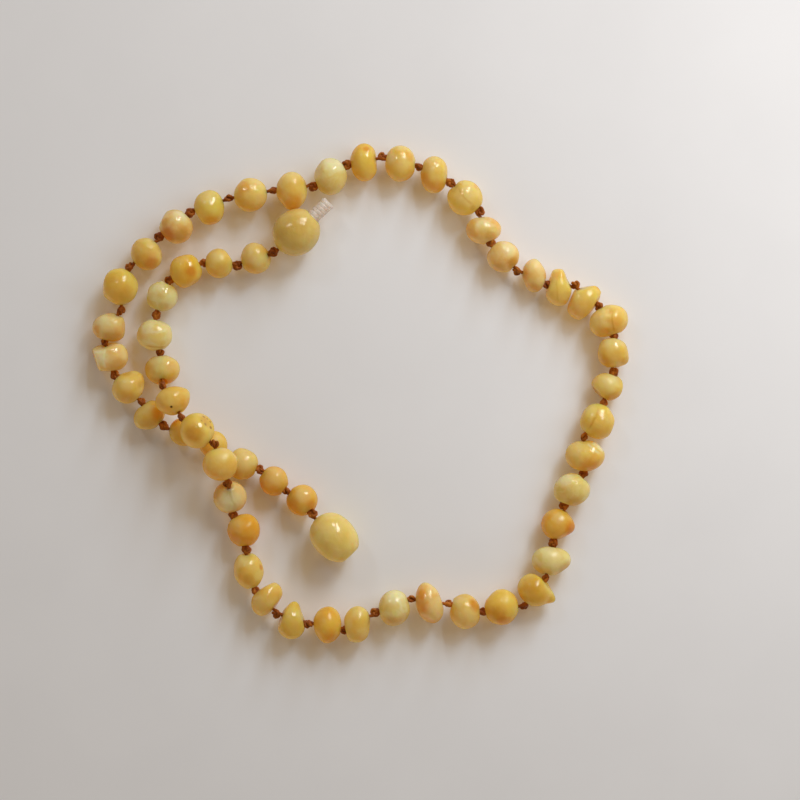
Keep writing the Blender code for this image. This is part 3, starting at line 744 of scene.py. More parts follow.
class EffectGroups:
    """Shader node groups that the materials share, each built once."""

    CLOUD_EDGES = (0.36, 0.64)
    BANDS = 40.0
    BAND_EDGES = (0.1, 1.0)
    SPOT_EDGES = (0.35, 1.1)
    VEIN_WAVE = 0.6
    VEIN_FADE = (0.5, 1.0)
    PIT_EDGES = (0.30, 0.38)
    PIT_DEPTH = 0.12
    SCUFF_EDGES = (0.35, 0.65)
    ROUGHNESSES = (0.05, 0.11)

    def __init__(self) -> None:
        """Build every group."""
        self.cloud = self._cloud()
        self.spot = self._spot()
        self.sheet = self._sheet()
        self.polish = self._polish()

    @staticmethod
    def _new(name: str, inputs: Iterable[tuple[str, str, object]], outputs: Iterable[str]) -> tuple:
        """Start a node group.

        Args:
            name: the group's name.
            inputs: name, socket type and default of each input.
            outputs: names of the value outputs.

        Returns:
            The group, its bench, its input node and its output node.
        """
        group = bpy.data.node_groups.new(name, "ShaderNodeTree")
        for label, kind, default in inputs:
            socket = group.interface.new_socket(name=label, in_out="INPUT", socket_type=kind)
            if default is not None:
                socket.default_value = default
        for label in outputs:
            group.interface.new_socket(name=label, in_out="OUTPUT", socket_type="NodeSocketFloat")
        bench = NodeBench(group)
        return group, bench, bench.add("NodeGroupInput"), bench.add("NodeGroupOutput")

    def _cloud(self) -> bpy.types.NodeTree:
        """Milky clouds and curled bands inside amber.

        Returns:
            The node group.
        """
        group, bench, inside, outside = self._new(
            "amber_cloud",
            (("Position", "NodeSocketVector", None), ("Seed", "NodeSocketFloat", 0.0),
             ("Size", "NodeSocketFloat", 3.0), ("Curl", "NodeSocketFloat", 0.8)),
            ("Cloud", "Band"),
        )
        size, seed = inside.outputs["Size"], inside.outputs["Seed"]
        spread = bench.add("ShaderNodeCombineXYZ", X=size, Y=size, Z=size)
        scaled = bench.vector("DIVIDE", inside.outputs["Position"], spread.outputs[0])
        warp = bench.add("ShaderNodeTexNoise", {"noise_dimensions": "4D"}, Vector=scaled.outputs[0],
                         W=seed, Scale=1.3, Detail=2.0)
        centred = bench.vector("SUBTRACT", warp.outputs["Color"], (0.5, 0.5, 0.5))
        pushed = bench.vector("SCALE", centred.outputs[0], inside.outputs["Curl"])
        place = bench.vector("ADD", scaled.outputs[0], pushed.outputs[0])
        cloud = bench.add("ShaderNodeTexNoise", {"noise_dimensions": "4D"}, Vector=place.outputs[0],
                          W=seed, Scale=1.0, Detail=3.0, Roughness=0.45)
        bench.feed(outside.inputs["Cloud"], bench.smooth(cloud.outputs["Fac"], *self.CLOUD_EDGES))
        ripple = bench.math("SINE", bench.math("MULTIPLY", cloud.outputs["Fac"], self.BANDS))
        bench.feed(outside.inputs["Band"], bench.smooth(ripple, *self.BAND_EDGES))
        return group

    def _spot(self) -> bpy.types.NodeTree:
        """Round place with a ragged soft edge.

        Returns:
            The node group.
        """
        group, bench, inside, outside = self._new(
            "amber_spot",
            (("Position", "NodeSocketVector", None), ("Place", "NodeSocketVector", None),
             ("Reach", "NodeSocketFloat", 1.0), ("Ragged", "NodeSocketFloat", 0.5)),
            ("Mask",),
        )
        away = bench.vector("DISTANCE", inside.outputs["Position"], inside.outputs["Place"])
        grain = bench.add("ShaderNodeTexNoise", Vector=inside.outputs["Position"], Scale=0.9, Detail=2.0)
        uneven = bench.math("SUBTRACT", grain.outputs["Fac"], 0.5)
        shift = bench.math("MULTIPLY", uneven, inside.outputs["Ragged"])
        share = bench.math("DIVIDE", away.outputs["Value"], inside.outputs["Reach"])
        ragged = bench.math("ADD", share, shift)
        bench.feed(outside.inputs["Mask"], bench.smooth(ragged, *self.SPOT_EDGES, 1.0, 0.0))
        return group

    def _sheet(self) -> bpy.types.NodeTree:
        """Thin wavy vein across a place, which fades out with distance.

        Returns:
            The node group.
        """
        group, bench, inside, outside = self._new(
            "amber_sheet",
            (("Position", "NodeSocketVector", None), ("Place", "NodeSocketVector", None),
             ("Facing", "NodeSocketVector", None), ("Thickness", "NodeSocketFloat", 0.3),
             ("Reach", "NodeSocketFloat", 1.5)),
            ("Mask",),
        )
        offset = bench.vector("SUBTRACT", inside.outputs["Position"], inside.outputs["Place"])
        across = bench.vector("DOT_PRODUCT", offset.outputs[0], inside.outputs["Facing"])
        grain = bench.add("ShaderNodeTexNoise", Vector=inside.outputs["Position"], Scale=0.7, Detail=2.0)
        uneven = bench.math("SUBTRACT", grain.outputs["Fac"], 0.5)
        wave = bench.math("MULTIPLY", uneven, self.VEIN_WAVE)
        depth = bench.math("ABSOLUTE", bench.math("ADD", across.outputs["Value"], wave))
        line = bench.smooth(depth, 0.0, inside.outputs["Thickness"], 1.0, 0.0)
        far = bench.vector("LENGTH", offset.outputs[0])
        share = bench.math("DIVIDE", far.outputs["Value"], inside.outputs["Reach"])
        near = bench.smooth(share, *self.VEIN_FADE, 1.0, 0.0)
        bench.feed(outside.inputs["Mask"], bench.math("MULTIPLY", line, near))
        return group

    def _polish(self) -> bpy.types.NodeTree:
        """Tumbled polish: soft ripple with fine pits and scuffs.

        Returns:
            The node group.
        """
        group, bench, inside, outside = self._new(
            "tumbled_polish",
            (("Position", "NodeSocketVector", None), ("Seed", "NodeSocketFloat", 0.0)),
            ("Height", "Roughness"),
        )
        ripple = bench.add("ShaderNodeTexNoise", {"noise_dimensions": "4D"},
                           Vector=inside.outputs["Position"], W=inside.outputs["Seed"],
                           Scale=0.9, Detail=2.0)
        pits = bench.add("ShaderNodeTexNoise", {"noise_dimensions": "4D"},
                         Vector=inside.outputs["Position"], W=inside.outputs["Seed"],
                         Scale=6.0, Detail=3.0)
        pit = bench.smooth(pits.outputs["Fac"], *self.PIT_EDGES)
        height = bench.math("MULTIPLY_ADD", ripple.outputs["Fac"], 1.0)
        bench.feed(height.node.inputs[2], bench.math("MULTIPLY", pit, self.PIT_DEPTH))
        bench.feed(outside.inputs["Height"], height)
        roughness = bench.smooth(pits.outputs["Fac"], *self.SCUFF_EDGES, *self.ROUGHNESSES)
        bench.feed(outside.inputs["Roughness"], roughness)
        return group


def start_material(name: str) -> tuple[bpy.types.Material, NodeBench, bpy.types.Node, bpy.types.NodeSocket]:
    """Start a material whose patterns are measured in millimetres.

    Args:
        name: the material's name.

    Returns:
        The material, its bench, its Principled shader, and the socket that gives the place on the
        piece in millimetres.
    """
    material = bpy.data.materials.new(name)
    material.use_nodes = True
    bench = NodeBench(material.node_tree)
    shader = material.node_tree.nodes["Principled BSDF"]
    coordinates = bench.add("ShaderNodeTexCoord")
    position = bench.vector("SCALE", coordinates.outputs["Object"], 1 / MM).outputs[0]
    return material, bench, shader, position


@dataclass(frozen=True)
class AmberFinish:
    """How one kind of amber looks.

    The body colour is its main colour, the haze colour that of its milky clouds, the scatter the
    distance in millimetres that red light spreads inside it, and the swirl the share of its
    curled white bands.
    """

    body: Rgb
    haze: Rgb
    haze_share: float
    scatter: float
    swirl: float = 0.0


FINISHES = {
    Tint.MILK: AmberFinish((0.745, 0.578, 0.189), (0.83, 0.714, 0.357), 0.9, 4.6, 0.15),
    Tint.CREAM: AmberFinish((0.766, 0.483, 0.137), (0.83, 0.63, 0.284), 0.8, 5.0, 0.08),
    Tint.BUTTER: AmberFinish((0.756, 0.493, 0.105), (0.819, 0.619, 0.21), 0.7, 5.8),
    Tint.LEMON: AmberFinish((0.766, 0.525, 0.095), (0.819, 0.619, 0.2), 0.5, 7.0),
    Tint.HONEY: AmberFinish((0.777, 0.462, 0.063), (0.809, 0.567, 0.131), 0.6, 6.6),
    Tint.ORANGE: AmberFinish((0.756, 0.394, 0.047), (0.777, 0.483, 0.105), 0.6, 6.6),
}
STUD_HALF_FINISH = AmberFinish((0.68, 0.49, 0.125), (0.74, 0.60, 0.22), 0.7, 2.4)
SOCKET_HALF_FINISH = AmberFinish((0.76, 0.60, 0.17), (0.82, 0.70, 0.28), 0.7, 2.4)

AMBER_IOR = 1.54
LIGHT_SPREAD = (1.0, 0.58, 0.22)  # how far red, green and blue light spread, red being one
INNER_GLOW = 0.22  # share of the body that glows with light from its far side
THROUGH_AMBER = (0.57, 0.42, 0.12)  # share of daylight that each side of a stone lets through
POLISH_STRENGTH = 0.8
POLISH_DEPTH = 0.16  # millimetres
VEIN_RISE = 20  # degrees by which every vein's facing rises


class AmberPainter:
    """Makes the material of one piece of amber from its finish and marks."""

    def __init__(self, groups: EffectGroups) -> None:
        """Keep the shared effects.

        Args:
            groups: the node groups to place.
        """
        self.groups = groups

    @staticmethod
    def _place(bench: NodeBench, group: bpy.types.NodeTree, **inputs: object) -> bpy.types.Node:
        """Place a shared group in a material.

        Args:
            bench: the material's bench.
            group: the group.
            inputs: its values, by name.

        Returns:
            The group's node.
        """
        node = bench.add("ShaderNodeGroup", {"node_tree": group})
        for name, value in inputs.items():
            bench.feed(node.inputs[name], value)
        return node

    def paint(self, name: str, finish: AmberFinish, seed: float,
              marks: Iterable[tuple[Mark, np.ndarray]]) -> bpy.types.Material:
        """Make one material.

        Args:
            name: the material's name.
            finish: the kind of amber.
            seed: picks this piece's own clouds and ripple.
            marks: each mark with its place in millimetres.

        Returns:
            The material.
        """
        material, bench, shader, position = start_material(name)
        cloud = self._place(bench, self.groups.cloud, Position=position, Seed=seed)
        haze = bench.math("MULTIPLY", cloud.outputs["Cloud"], finish.haze_share)
        colour = bench.blend(haze, finish.body, finish.haze)
        swirl = bench.math("MULTIPLY", cloud.outputs["Band"], finish.swirl)
        colour = bench.blend(swirl, colour, Tone.WHITE.value)
        for mark, place in marks:
            common = {"Position": position, "Place": tuple(place), "Reach": mark.reach}
            if mark.kind is MarkKind.SPOT:
                drawn = self._place(bench, self.groups.spot, **common)
            else:
                facing = tuple(plan_direction(mark.facing, VEIN_RISE))
                drawn = self._place(bench, self.groups.sheet, Facing=facing, **common)
            share = bench.math("MULTIPLY", drawn.outputs["Mask"], mark.strength)
            colour = bench.blend(share, colour, mark.tone.value)
        polish = self._place(bench, self.groups.polish, Position=position, Seed=seed)
        bump = bench.add("ShaderNodeBump", Height=polish.outputs["Height"], Strength=POLISH_STRENGTH,
                         Distance=POLISH_DEPTH * MM)
        bench.feed(shader.inputs["Base Color"], colour)
        bench.feed(shader.inputs["Roughness"], polish.outputs["Roughness"])
        bench.feed(shader.inputs["Normal"], bump.outputs["Normal"])
        shader.inputs["IOR"].default_value = AMBER_IOR
        shader.inputs["Subsurface Weight"].default_value = 1.0
        shader.inputs["Subsurface Radius"].default_value = LIGHT_SPREAD
        shader.inputs["Subsurface Scale"].default_value = finish.scatter * MM
        self._let_light_through(bench, shader, colour)
        return material

    @staticmethod
    def _let_light_through(bench: NodeBench, shader: bpy.types.Node, colour: object) -> None:
        """Give a piece its inner glow, and the warm shadow of light that has come through amber.

        Args:
            bench: the material's bench.
            shader: its Principled shader.
            colour: the piece's colour socket.
        """
        glow = bench.add("ShaderNodeBsdfTranslucent", Color=colour)
        body = bench.add("ShaderNodeMixShader", Fac=INNER_GLOW)
        passed = bench.add("ShaderNodeBsdfTransparent", Color=THROUGH_AMBER)
        path = bench.add("ShaderNodeLightPath")
        either = bench.add("ShaderNodeMixShader", Fac=path.outputs["Is Shadow Ray"])
        bench.feed(body.inputs[1], shader.outputs[0])
        bench.feed(body.inputs[2], glow.outputs[0])
        bench.feed(either.inputs[1], body.outputs[0])
        bench.feed(either.inputs[2], passed.outputs[0])
        output = next(node for node in bench.tree.nodes if node.type == "OUTPUT_MATERIAL")
        bench.feed(output.inputs["Surface"], either.outputs[0])


@dataclass
class StoneWorks:
    """Shapes and dresses the stones."""

    strand: Strand
    painter: AmberPainter
    collection: bpy.types.Collection
    segments: int = 56
    bands: int = 36
    pole_height: float = 0.9999
    bore_radius: float = 0.42
    knot_room: float = 0.92
    neighbour_gap: float = 0.06
    ripple: float = 0.07
    waves: tuple[float, ...] = (1.6, 2.7, 4.2)
    wave_seed: int = 200
    cloud_step: float = 3.7
    flats: int = 3
    flat_shares: tuple[float, float] = (0.90, 0.98)
    rounding: float = 0.45
    least_closing: float = 0.05
    least_leaving: float = 0.02
    cage: bpy.types.Mesh = field(init=False)
    unit_places: np.ndarray = field(init=False)
    in_mouth: np.ndarray = field(init=False)

    def __post_init__(self) -> None:
        """Make the drilled ball that every stone is shaped from."""
        ball = bmesh.new()
        bmesh.ops.create_uvsphere(ball, u_segments=self.segments, v_segments=self.bands, radius=1)
        poles = [vert for vert in ball.verts if abs(vert.co.z) > self.pole_height]
        bmesh.ops.delete(ball, geom=poles, context="VERTS")
        rims = [edge for edge in ball.edges if edge.is_boundary]
        grown = bmesh.ops.extrude_edge_only(ball, edges=rims)["geom"]
        mouth = {part for part in grown if isinstance(part, bmesh.types.BMVert)}
        edges = [part for part in grown if isinstance(part, bmesh.types.BMEdge) and part.is_boundary]
        bmesh.ops.bridge_loops(ball, edges=edges)
        bmesh.ops.recalc_face_normals(ball, faces=ball.faces)
        if ball.calc_volume(signed=True) < 0:
            bmesh.ops.reverse_faces(ball, faces=ball.faces)
        ball.verts.ensure_lookup_table()
        self.in_mouth = np.array([vert in mouth for vert in ball.verts])
        self.unit_places = np.array([vert.co for vert in ball.verts])
        self.cage = bpy.data.meshes.new("drilled_ball")
        ball.to_mesh(self.cage)
        ball.free()

    def _body_reach(self, stone: Stone, hub: np.ndarray, rays: np.ndarray) -> np.ndarray:
        """Distance from the hub to the rounded body.

        Args:
            stone: the stone.
            hub: point on the bore from which the surface is measured.
            rays: unit vectors, one a row.

        Returns:
            One distance a row.
        """
        start = stone.axes @ (hub - stone.middle) / stone.half
        steps = rays @ stone.axes.T / stone.half
        along = steps @ start
        square = (steps ** 2).sum(axis=1)
        return (np.sqrt(along ** 2 + square * (1 - start @ start)) - along) / square

    def _flat_sides(self, number: int, stone: Stone) -> list[tuple[np.ndarray, float]]:
        """The stone's cut sides, and a few worn flats of its own.

        Args:
            number: the stone's number, which seeds its worn flats.
            stone: the stone.

        Returns:
            Each side's facing direction, and its distance from the stone's middle.
        """
        sides = [(plan_direction(cut.azimuth, cut.rise), cut.distance) for cut in stone.cuts]
        draw = np.random.default_rng(number)
        for _ in range(self.flats):
            facing = unit(draw.normal(size=3))
            outermost = np.linalg.norm(stone.half * (stone.axes @ facing))
            sides.append((facing, outermost * draw.uniform(*self.flat_shares)))
        return sides

    def _own_form(self, number: int, stone: Stone, hub: np.ndarray, rays: np.ndarray) -> np.ndarray:
        """Distance to the body with its flat sides, slow waviness, corners and dents.

        Args:
            number: the stone's number, which seeds its waviness.
            stone: the stone.
            hub: point that the surface is measured from.
            rays: unit vectors, one a row.

        Returns:
            One distance a row.
        """
        reach = self._body_reach(stone, hub, rays)
        for facing, distance in self._flat_sides(number, stone):
            closing = np.maximum(rays @ facing, self.least_closing)
            past_hub = distance + (stone.middle - hub) @ facing
            reach = soft_least(reach, past_hub / closing, self.rounding)
        draw = np.random.default_rng(self.wave_seed + number)
        for frequency in self.waves:
            wave = draw.normal(size=3) * frequency
            reach = reach + self.ripple / frequency * np.sin(rays @ wave + draw.uniform(0, 2 * math.pi))
        for pull in stone.pulls:
            angle = np.degrees(np.arccos(np.clip(rays @ plan_direction(pull.azimuth, pull.rise), -1, 1)))
            reach = reach + pull.reach * np.exp(-(angle / pull.spread) ** 2)
        return reach

    def _clear_of_knot(self, hub: np.ndarray, rays: np.ndarray, reach: np.ndarray, knot: np.ndarray,
                       outward: np.ndarray) -> np.ndarray:
        """Keep the surface out of a knot's room and on this side of the knot.

        Args:
            hub: point that the surface is measured from.
            rays: unit vectors, one a row.
            reach: distances along them.
            knot: the knot's centre.
            outward: the strand's direction there, away from the stone.

        Returns:
            The new distances.
        """
        to_knot = knot - hub
        closing = np.maximum(rays @ outward, self.least_leaving)
        reach = soft_least(reach, (to_knot @ outward - self.neighbour_gap) / closing, self.rounding)
        near = rays @ to_knot
        aside = to_knot @ to_knot - near ** 2
        room = np.sqrt(np.maximum(self.knot_room ** 2 - aside, 0))
        meets = (near > 0) & (aside < self.knot_room ** 2)
        return np.where(meets, soft_least(reach, near - room, self.rounding), reach)

    def shape(self, number: int, stone: Stone) -> np.ndarray:
        """Shape one stone around its bore.

        Args:
            number: the stone's number along the strand.
            stone: the stone.

        Returns:
            The places of the drilled ball's vertices, in millimetres.
        """
        before, after = self.strand.knots[number - 1], self.strand.knots[number]
        along = unit(after - before)
        side = unit(np.cross(along, UP))
        axes = np.array((side, np.cross(along, side), along))
        hub = before + along * ((stone.middle - before) @ along)

        def reach_along(rays: np.ndarray) -> np.ndarray:
            """Distance from the hub to the finished surface along each ray.

            Args:
                rays: unit vectors, one a row.

            Returns:
                One distance a row.
            """
            reach = self._own_form(number, stone, hub, rays)
            reach = self._clear_of_knot(hub, rays, reach, before, -self.strand.bends[number - 1])
            return self._clear_of_knot(hub, rays, reach, after, self.strand.bends[number])

        rays = unit(self.unit_places @ axes)
        places = hub + rays * reach_along(rays)[:, None]
        ends = reach_along(np.array((along, -along)))
        local = self.unit_places[self.in_mouth]
        spokes = unit(local * (1, 1, 0)) @ axes
        depth = np.where(local[:, 2] > 0, ends[0], -ends[1])[:, None]
        places[self.in_mouth] = hub + along * depth + spokes * self.bore_radius
        if stone.lift == 0:
            places[:, 2] = np.maximum(places[:, 2], 0)
        return places

    def build(self, number: int, stone: Stone) -> bpy.types.Object:
        """Make one finished stone in place of its plain solid.

        Args:
            number: the stone's number along the strand.
            stone: the stone.

        Returns:
            The stone's object.
        """
        name = f"amber_{number:02d}"
        mesh = self.cage.copy()
        mesh.name = name
        surface = self.shape(number, stone)
        mesh.vertices.foreach_set("co", (surface * MM).ravel())
        mesh.update()
        mesh.shade_smooth()
        marks = [(mark, self._mark_place(stone, mark, surface)) for mark in stone.marks]
        mesh.materials.clear()
        seed = number * self.cloud_step
        mesh.materials.append(self.painter.paint(name, FINISHES[stone.tint], seed, marks))
        piece = bpy.data.objects.new(name, mesh)
        self.collection.objects.link(piece)
        node = f"stone_{number:02d}"
        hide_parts(node)
        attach(piece, BODY)
        return piece

    @staticmethod
    def _mark_place(stone: Stone, mark: Mark, surface: np.ndarray) -> np.ndarray:
        """Place of a mark on the upper side of the stone.

        Args:
            stone: the stone.
            mark: the mark.
            surface: the stone's vertices in millimetres.

        Returns:
            The place in millimetres.
        """
        seen = stone.middle[:2] + (mark.right, mark.up)
        upper = surface[surface[:, 2] > stone.middle[2]]
        nearest = upper[np.argmin(np.linalg.norm(upper[:, :2] - seen, axis=1))]
        return np.array((*seen, nearest[2]))


def skin_rings(rings: np.ndarray) -> bmesh.types.BMesh:
    """Skin a row of rings into a closed tube.

    Args:
        rings: points in millimetres, as rings by sides by three.

    Returns:
        The tube, its faces turned outwards.
    """
    surface = bmesh.new()
    verts = [[surface.verts.new(point * MM) for point in ring] for ring in rings]
    sides = rings.shape[1]
    for near, far in zip(verts, verts[1:]):
        for side in range(sides):
            after = (side + 1) % sides
            surface.faces.new((near[side], near[after], far[after], far[side]))
    surface.faces.new(reversed(verts[0]))
    surface.faces.new(verts[-1])
    bmesh.ops.recalc_face_normals(surface, faces=surface.faces)
    return surface


def smooth_object(name: str, shape: bmesh.types.BMesh,
                  collection: bpy.types.Collection) -> bpy.types.Object:
    """Turn a finished shape into a smoothly shaded object.

    Args:
        name: the object's name.
        shape: the shape, which is used up.
        collection: where the object goes.

    Returns:
        The object.
    """
    mesh = bpy.data.meshes.new(name)
    shape.to_mesh(mesh)
    shape.free()
    mesh.shade_smooth()
    piece = bpy.data.objects.new(name, mesh)
    collection.objects.link(piece)
    return piece


@dataclass(frozen=True)
class WaxedFinish:
    """How the waxed cord looks: between its fibres, on them, and where it is worn."""

    # painted shade: the dark colour between the fibres falls in the grooves of the fibre bump
    between: Rgb = (0.14, 0.026, 0.001)
    fibre: Rgb = (0.33, 0.083, 0.004)
    worn: Rgb = (0.42, 0.135, 0.012)
    roughness: float = 0.5
    gloss: float = 0.25
    fibre_edges: tuple[float, float] = (0.35, 0.65)
    worn_edges: tuple[float, float] = (0.4, 0.7)
    fibre_strength: float = 0.5
    fibre_depth: float = 0.04


@dataclass
class ThreadWorks:
    """Lays the twisted thread through the strand and ties its knots."""

    strand: Strand
    collection: bpy.types.Collection
    finish: WaxedFinish = WaxedFinish()
    radius: float = 0.27
    sides: int = 12
    plies: int = 3
    ply_depth: float = 0.16
    lay_length: float = 1.5
    knot_ring: float = 0.36
    knot_tube: float = 0.21
    knot_sizes: tuple[float, float] = (0.92, 1.1)
    knot_shift: float = 0.18
    knot_squash: float = 0.95
    knot_rise: float = 1.25
    knot_slope: float = 0.12
    knot_leads: tuple[float, float] = (1.3, 1.0)
    knot_steps: int = 56
    knot_seed: int = 500
    tail: float = 2.6
    sweep_step: float = 0.11

    def _knot(self, number: int) -> np.ndarray:
        """Path of one overhand knot, drawn tight.

        Args:
            number: the knot's place along the strand.

        Returns:
            Points in millimetres, from where the thread comes in to where it goes out.
        """
        draw = np.random.default_rng(self.knot_seed + number)
        centre, along = self.strand.knots[number], self.strand.bends[number]
        side = unit(np.cross(along, UP))
        turn = draw.uniform(0, 2 * math.pi)
        lean = math.cos(turn) * side + math.sin(turn) * np.cross(side, along)
        third = np.cross(along, lean)
        ring = self.knot_ring * draw.uniform(*self.knot_sizes)
        angle = np.linspace(0, 2 * math.pi, self.knot_steps)
        out = ring + self.knot_tube * np.cos(3 * angle)
        fade = np.cos(angle / 2)
        x = out * np.cos(2 * angle) - self.knot_shift
        y = out * np.sin(2 * angle) * self.knot_squash
        z = self.knot_tube * self.knot_rise * np.sin(3 * angle) - self.knot_slope * fade
        return centre + np.outer(x, lean) + np.outer(y, along) + np.outer(z, third)

    def path(self) -> np.ndarray:
        """Path of the whole thread.

        Returns:
            Points in millimetres.
        """
        knots, line = self.strand.knots, self.strand.line
        start = knots[0] + unit(line[0] - knots[0]) * self.tail
        points = [start]
        for number, knot in enumerate(knots):
            back, ahead = unit(line[number] - knot), unit(line[number + 2] - knot)
            points += [knot + back * lead for lead in self.knot_leads]
            points += list(self._knot(number))
            points += [knot + ahead * lead for lead in reversed(self.knot_leads)]
        points.append(knots[-1] + unit(line[-1] - knots[-1]) * self.tail)
        return np.array(points)

    @staticmethod
    def _eased(points: np.ndarray, step: float) -> np.ndarray:
        """Read a path again at an even step along a smooth curve through it.

        Args:
            points: the path's points.
            step: distance between the new points.

        Returns:
            The new points.
        """
        padded = np.vstack((points[0], points, points[-1]))
        pieces = []
        for a, b, c, d in zip(padded, padded[1:], padded[2:], padded[3:]):
            count = max(1, round(float(np.linalg.norm(c - b)) / step))
            share = (np.arange(count) / count)[:, None]
            square, cube = 2 * a - 5 * b + 4 * c - d, 3 * b - a - 3 * c + d
            pieces.append(b + ((c - a) * share + square * share ** 2 + cube * share ** 3) / 2)
        return np.vstack((*pieces, points[-1]))

    def build(self) -> bpy.types.Object:
        """Sweep the twisted cord along its path.

        Returns:
            The thread's object.
        """
        path = self._eased(self.path(), self.sweep_step)
        tangents = unit(np.gradient(path, axis=0))
        lengths = np.concatenate(((0,), np.cumsum(np.linalg.norm(np.diff(path, axis=0), axis=1))))
        normal = unit(np.cross(tangents[0], UP))
        rings = []
        around = np.linspace(0, 2 * math.pi, self.sides, endpoint=False)
        for place, tangent, length in zip(path, tangents, lengths):
            normal = unit(normal - tangent * (normal @ tangent))
            other = np.cross(tangent, normal)
            twist = 2 * math.pi * length / self.lay_length
            groove = 0.5 - 0.5 * np.cos(self.plies * (around - twist))
            radius = self.radius * (1 - self.ply_depth * groove)
            across, upward = radius * np.cos(around), radius * np.sin(around)
            rings.append(place + np.outer(across, normal) + np.outer(upward, other))
        piece = smooth_object("knotted_thread", skin_rings(np.array(rings)), self.collection)
        piece.data.materials.append(self._waxed())
        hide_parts("thread")
        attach(piece, BODY)
        return piece

    def _waxed(self) -> bpy.types.Material:
        """Rust-brown waxed cord with fine fibres.

        Returns:
            The material.
        """
        material, bench, shader, position = start_material("waxed_thread")
        fibres = bench.add("ShaderNodeTexNoise", Vector=position, Scale=9.0, Detail=3.0, Roughness=0.6)
        patches = bench.add("ShaderNodeTexNoise", Vector=position, Scale=0.9, Detail=1.0)
        fibre = bench.smooth(fibres.outputs["Fac"], *self.finish.fibre_edges)
        # painted shade: darker where the fibre bump is low, in the grooves between fibres
        waxed = bench.blend(fibre, self.finish.between, self.finish.fibre)
        worn = bench.smooth(patches.outputs["Fac"], *self.finish.worn_edges)
        shade = bench.blend(worn, waxed, self.finish.worn)
        bump = bench.add("ShaderNodeBump", Height=fibres.outputs["Fac"],
                         Strength=self.finish.fibre_strength, Distance=self.finish.fibre_depth * MM)
        bench.feed(shader.inputs["Base Color"], shade)
        bench.feed(shader.inputs["Normal"], bump.outputs["Normal"])
        shader.inputs["Roughness"].default_value = self.finish.roughness
        shader.inputs["Specular IOR Level"].default_value = self.finish.gloss
        return material


@dataclass(frozen=True)
class StudFinish:
    """How the clear stud looks: its two milky tints, how light spreads in it, and its scuffs."""

    clearer: Rgb = (0.88, 0.72, 0.62)
    milkier: Rgb = (0.92, 0.82, 0.74)
    spread: Rgb = (1.0, 0.8, 0.7)
    scatter: float = 2.0
    clear: float = 0.35
    scuff_edges: tuple[float, float] = (0.3, 0.7)
    roughnesses: tuple[float, float] = (0.25, 0.45)


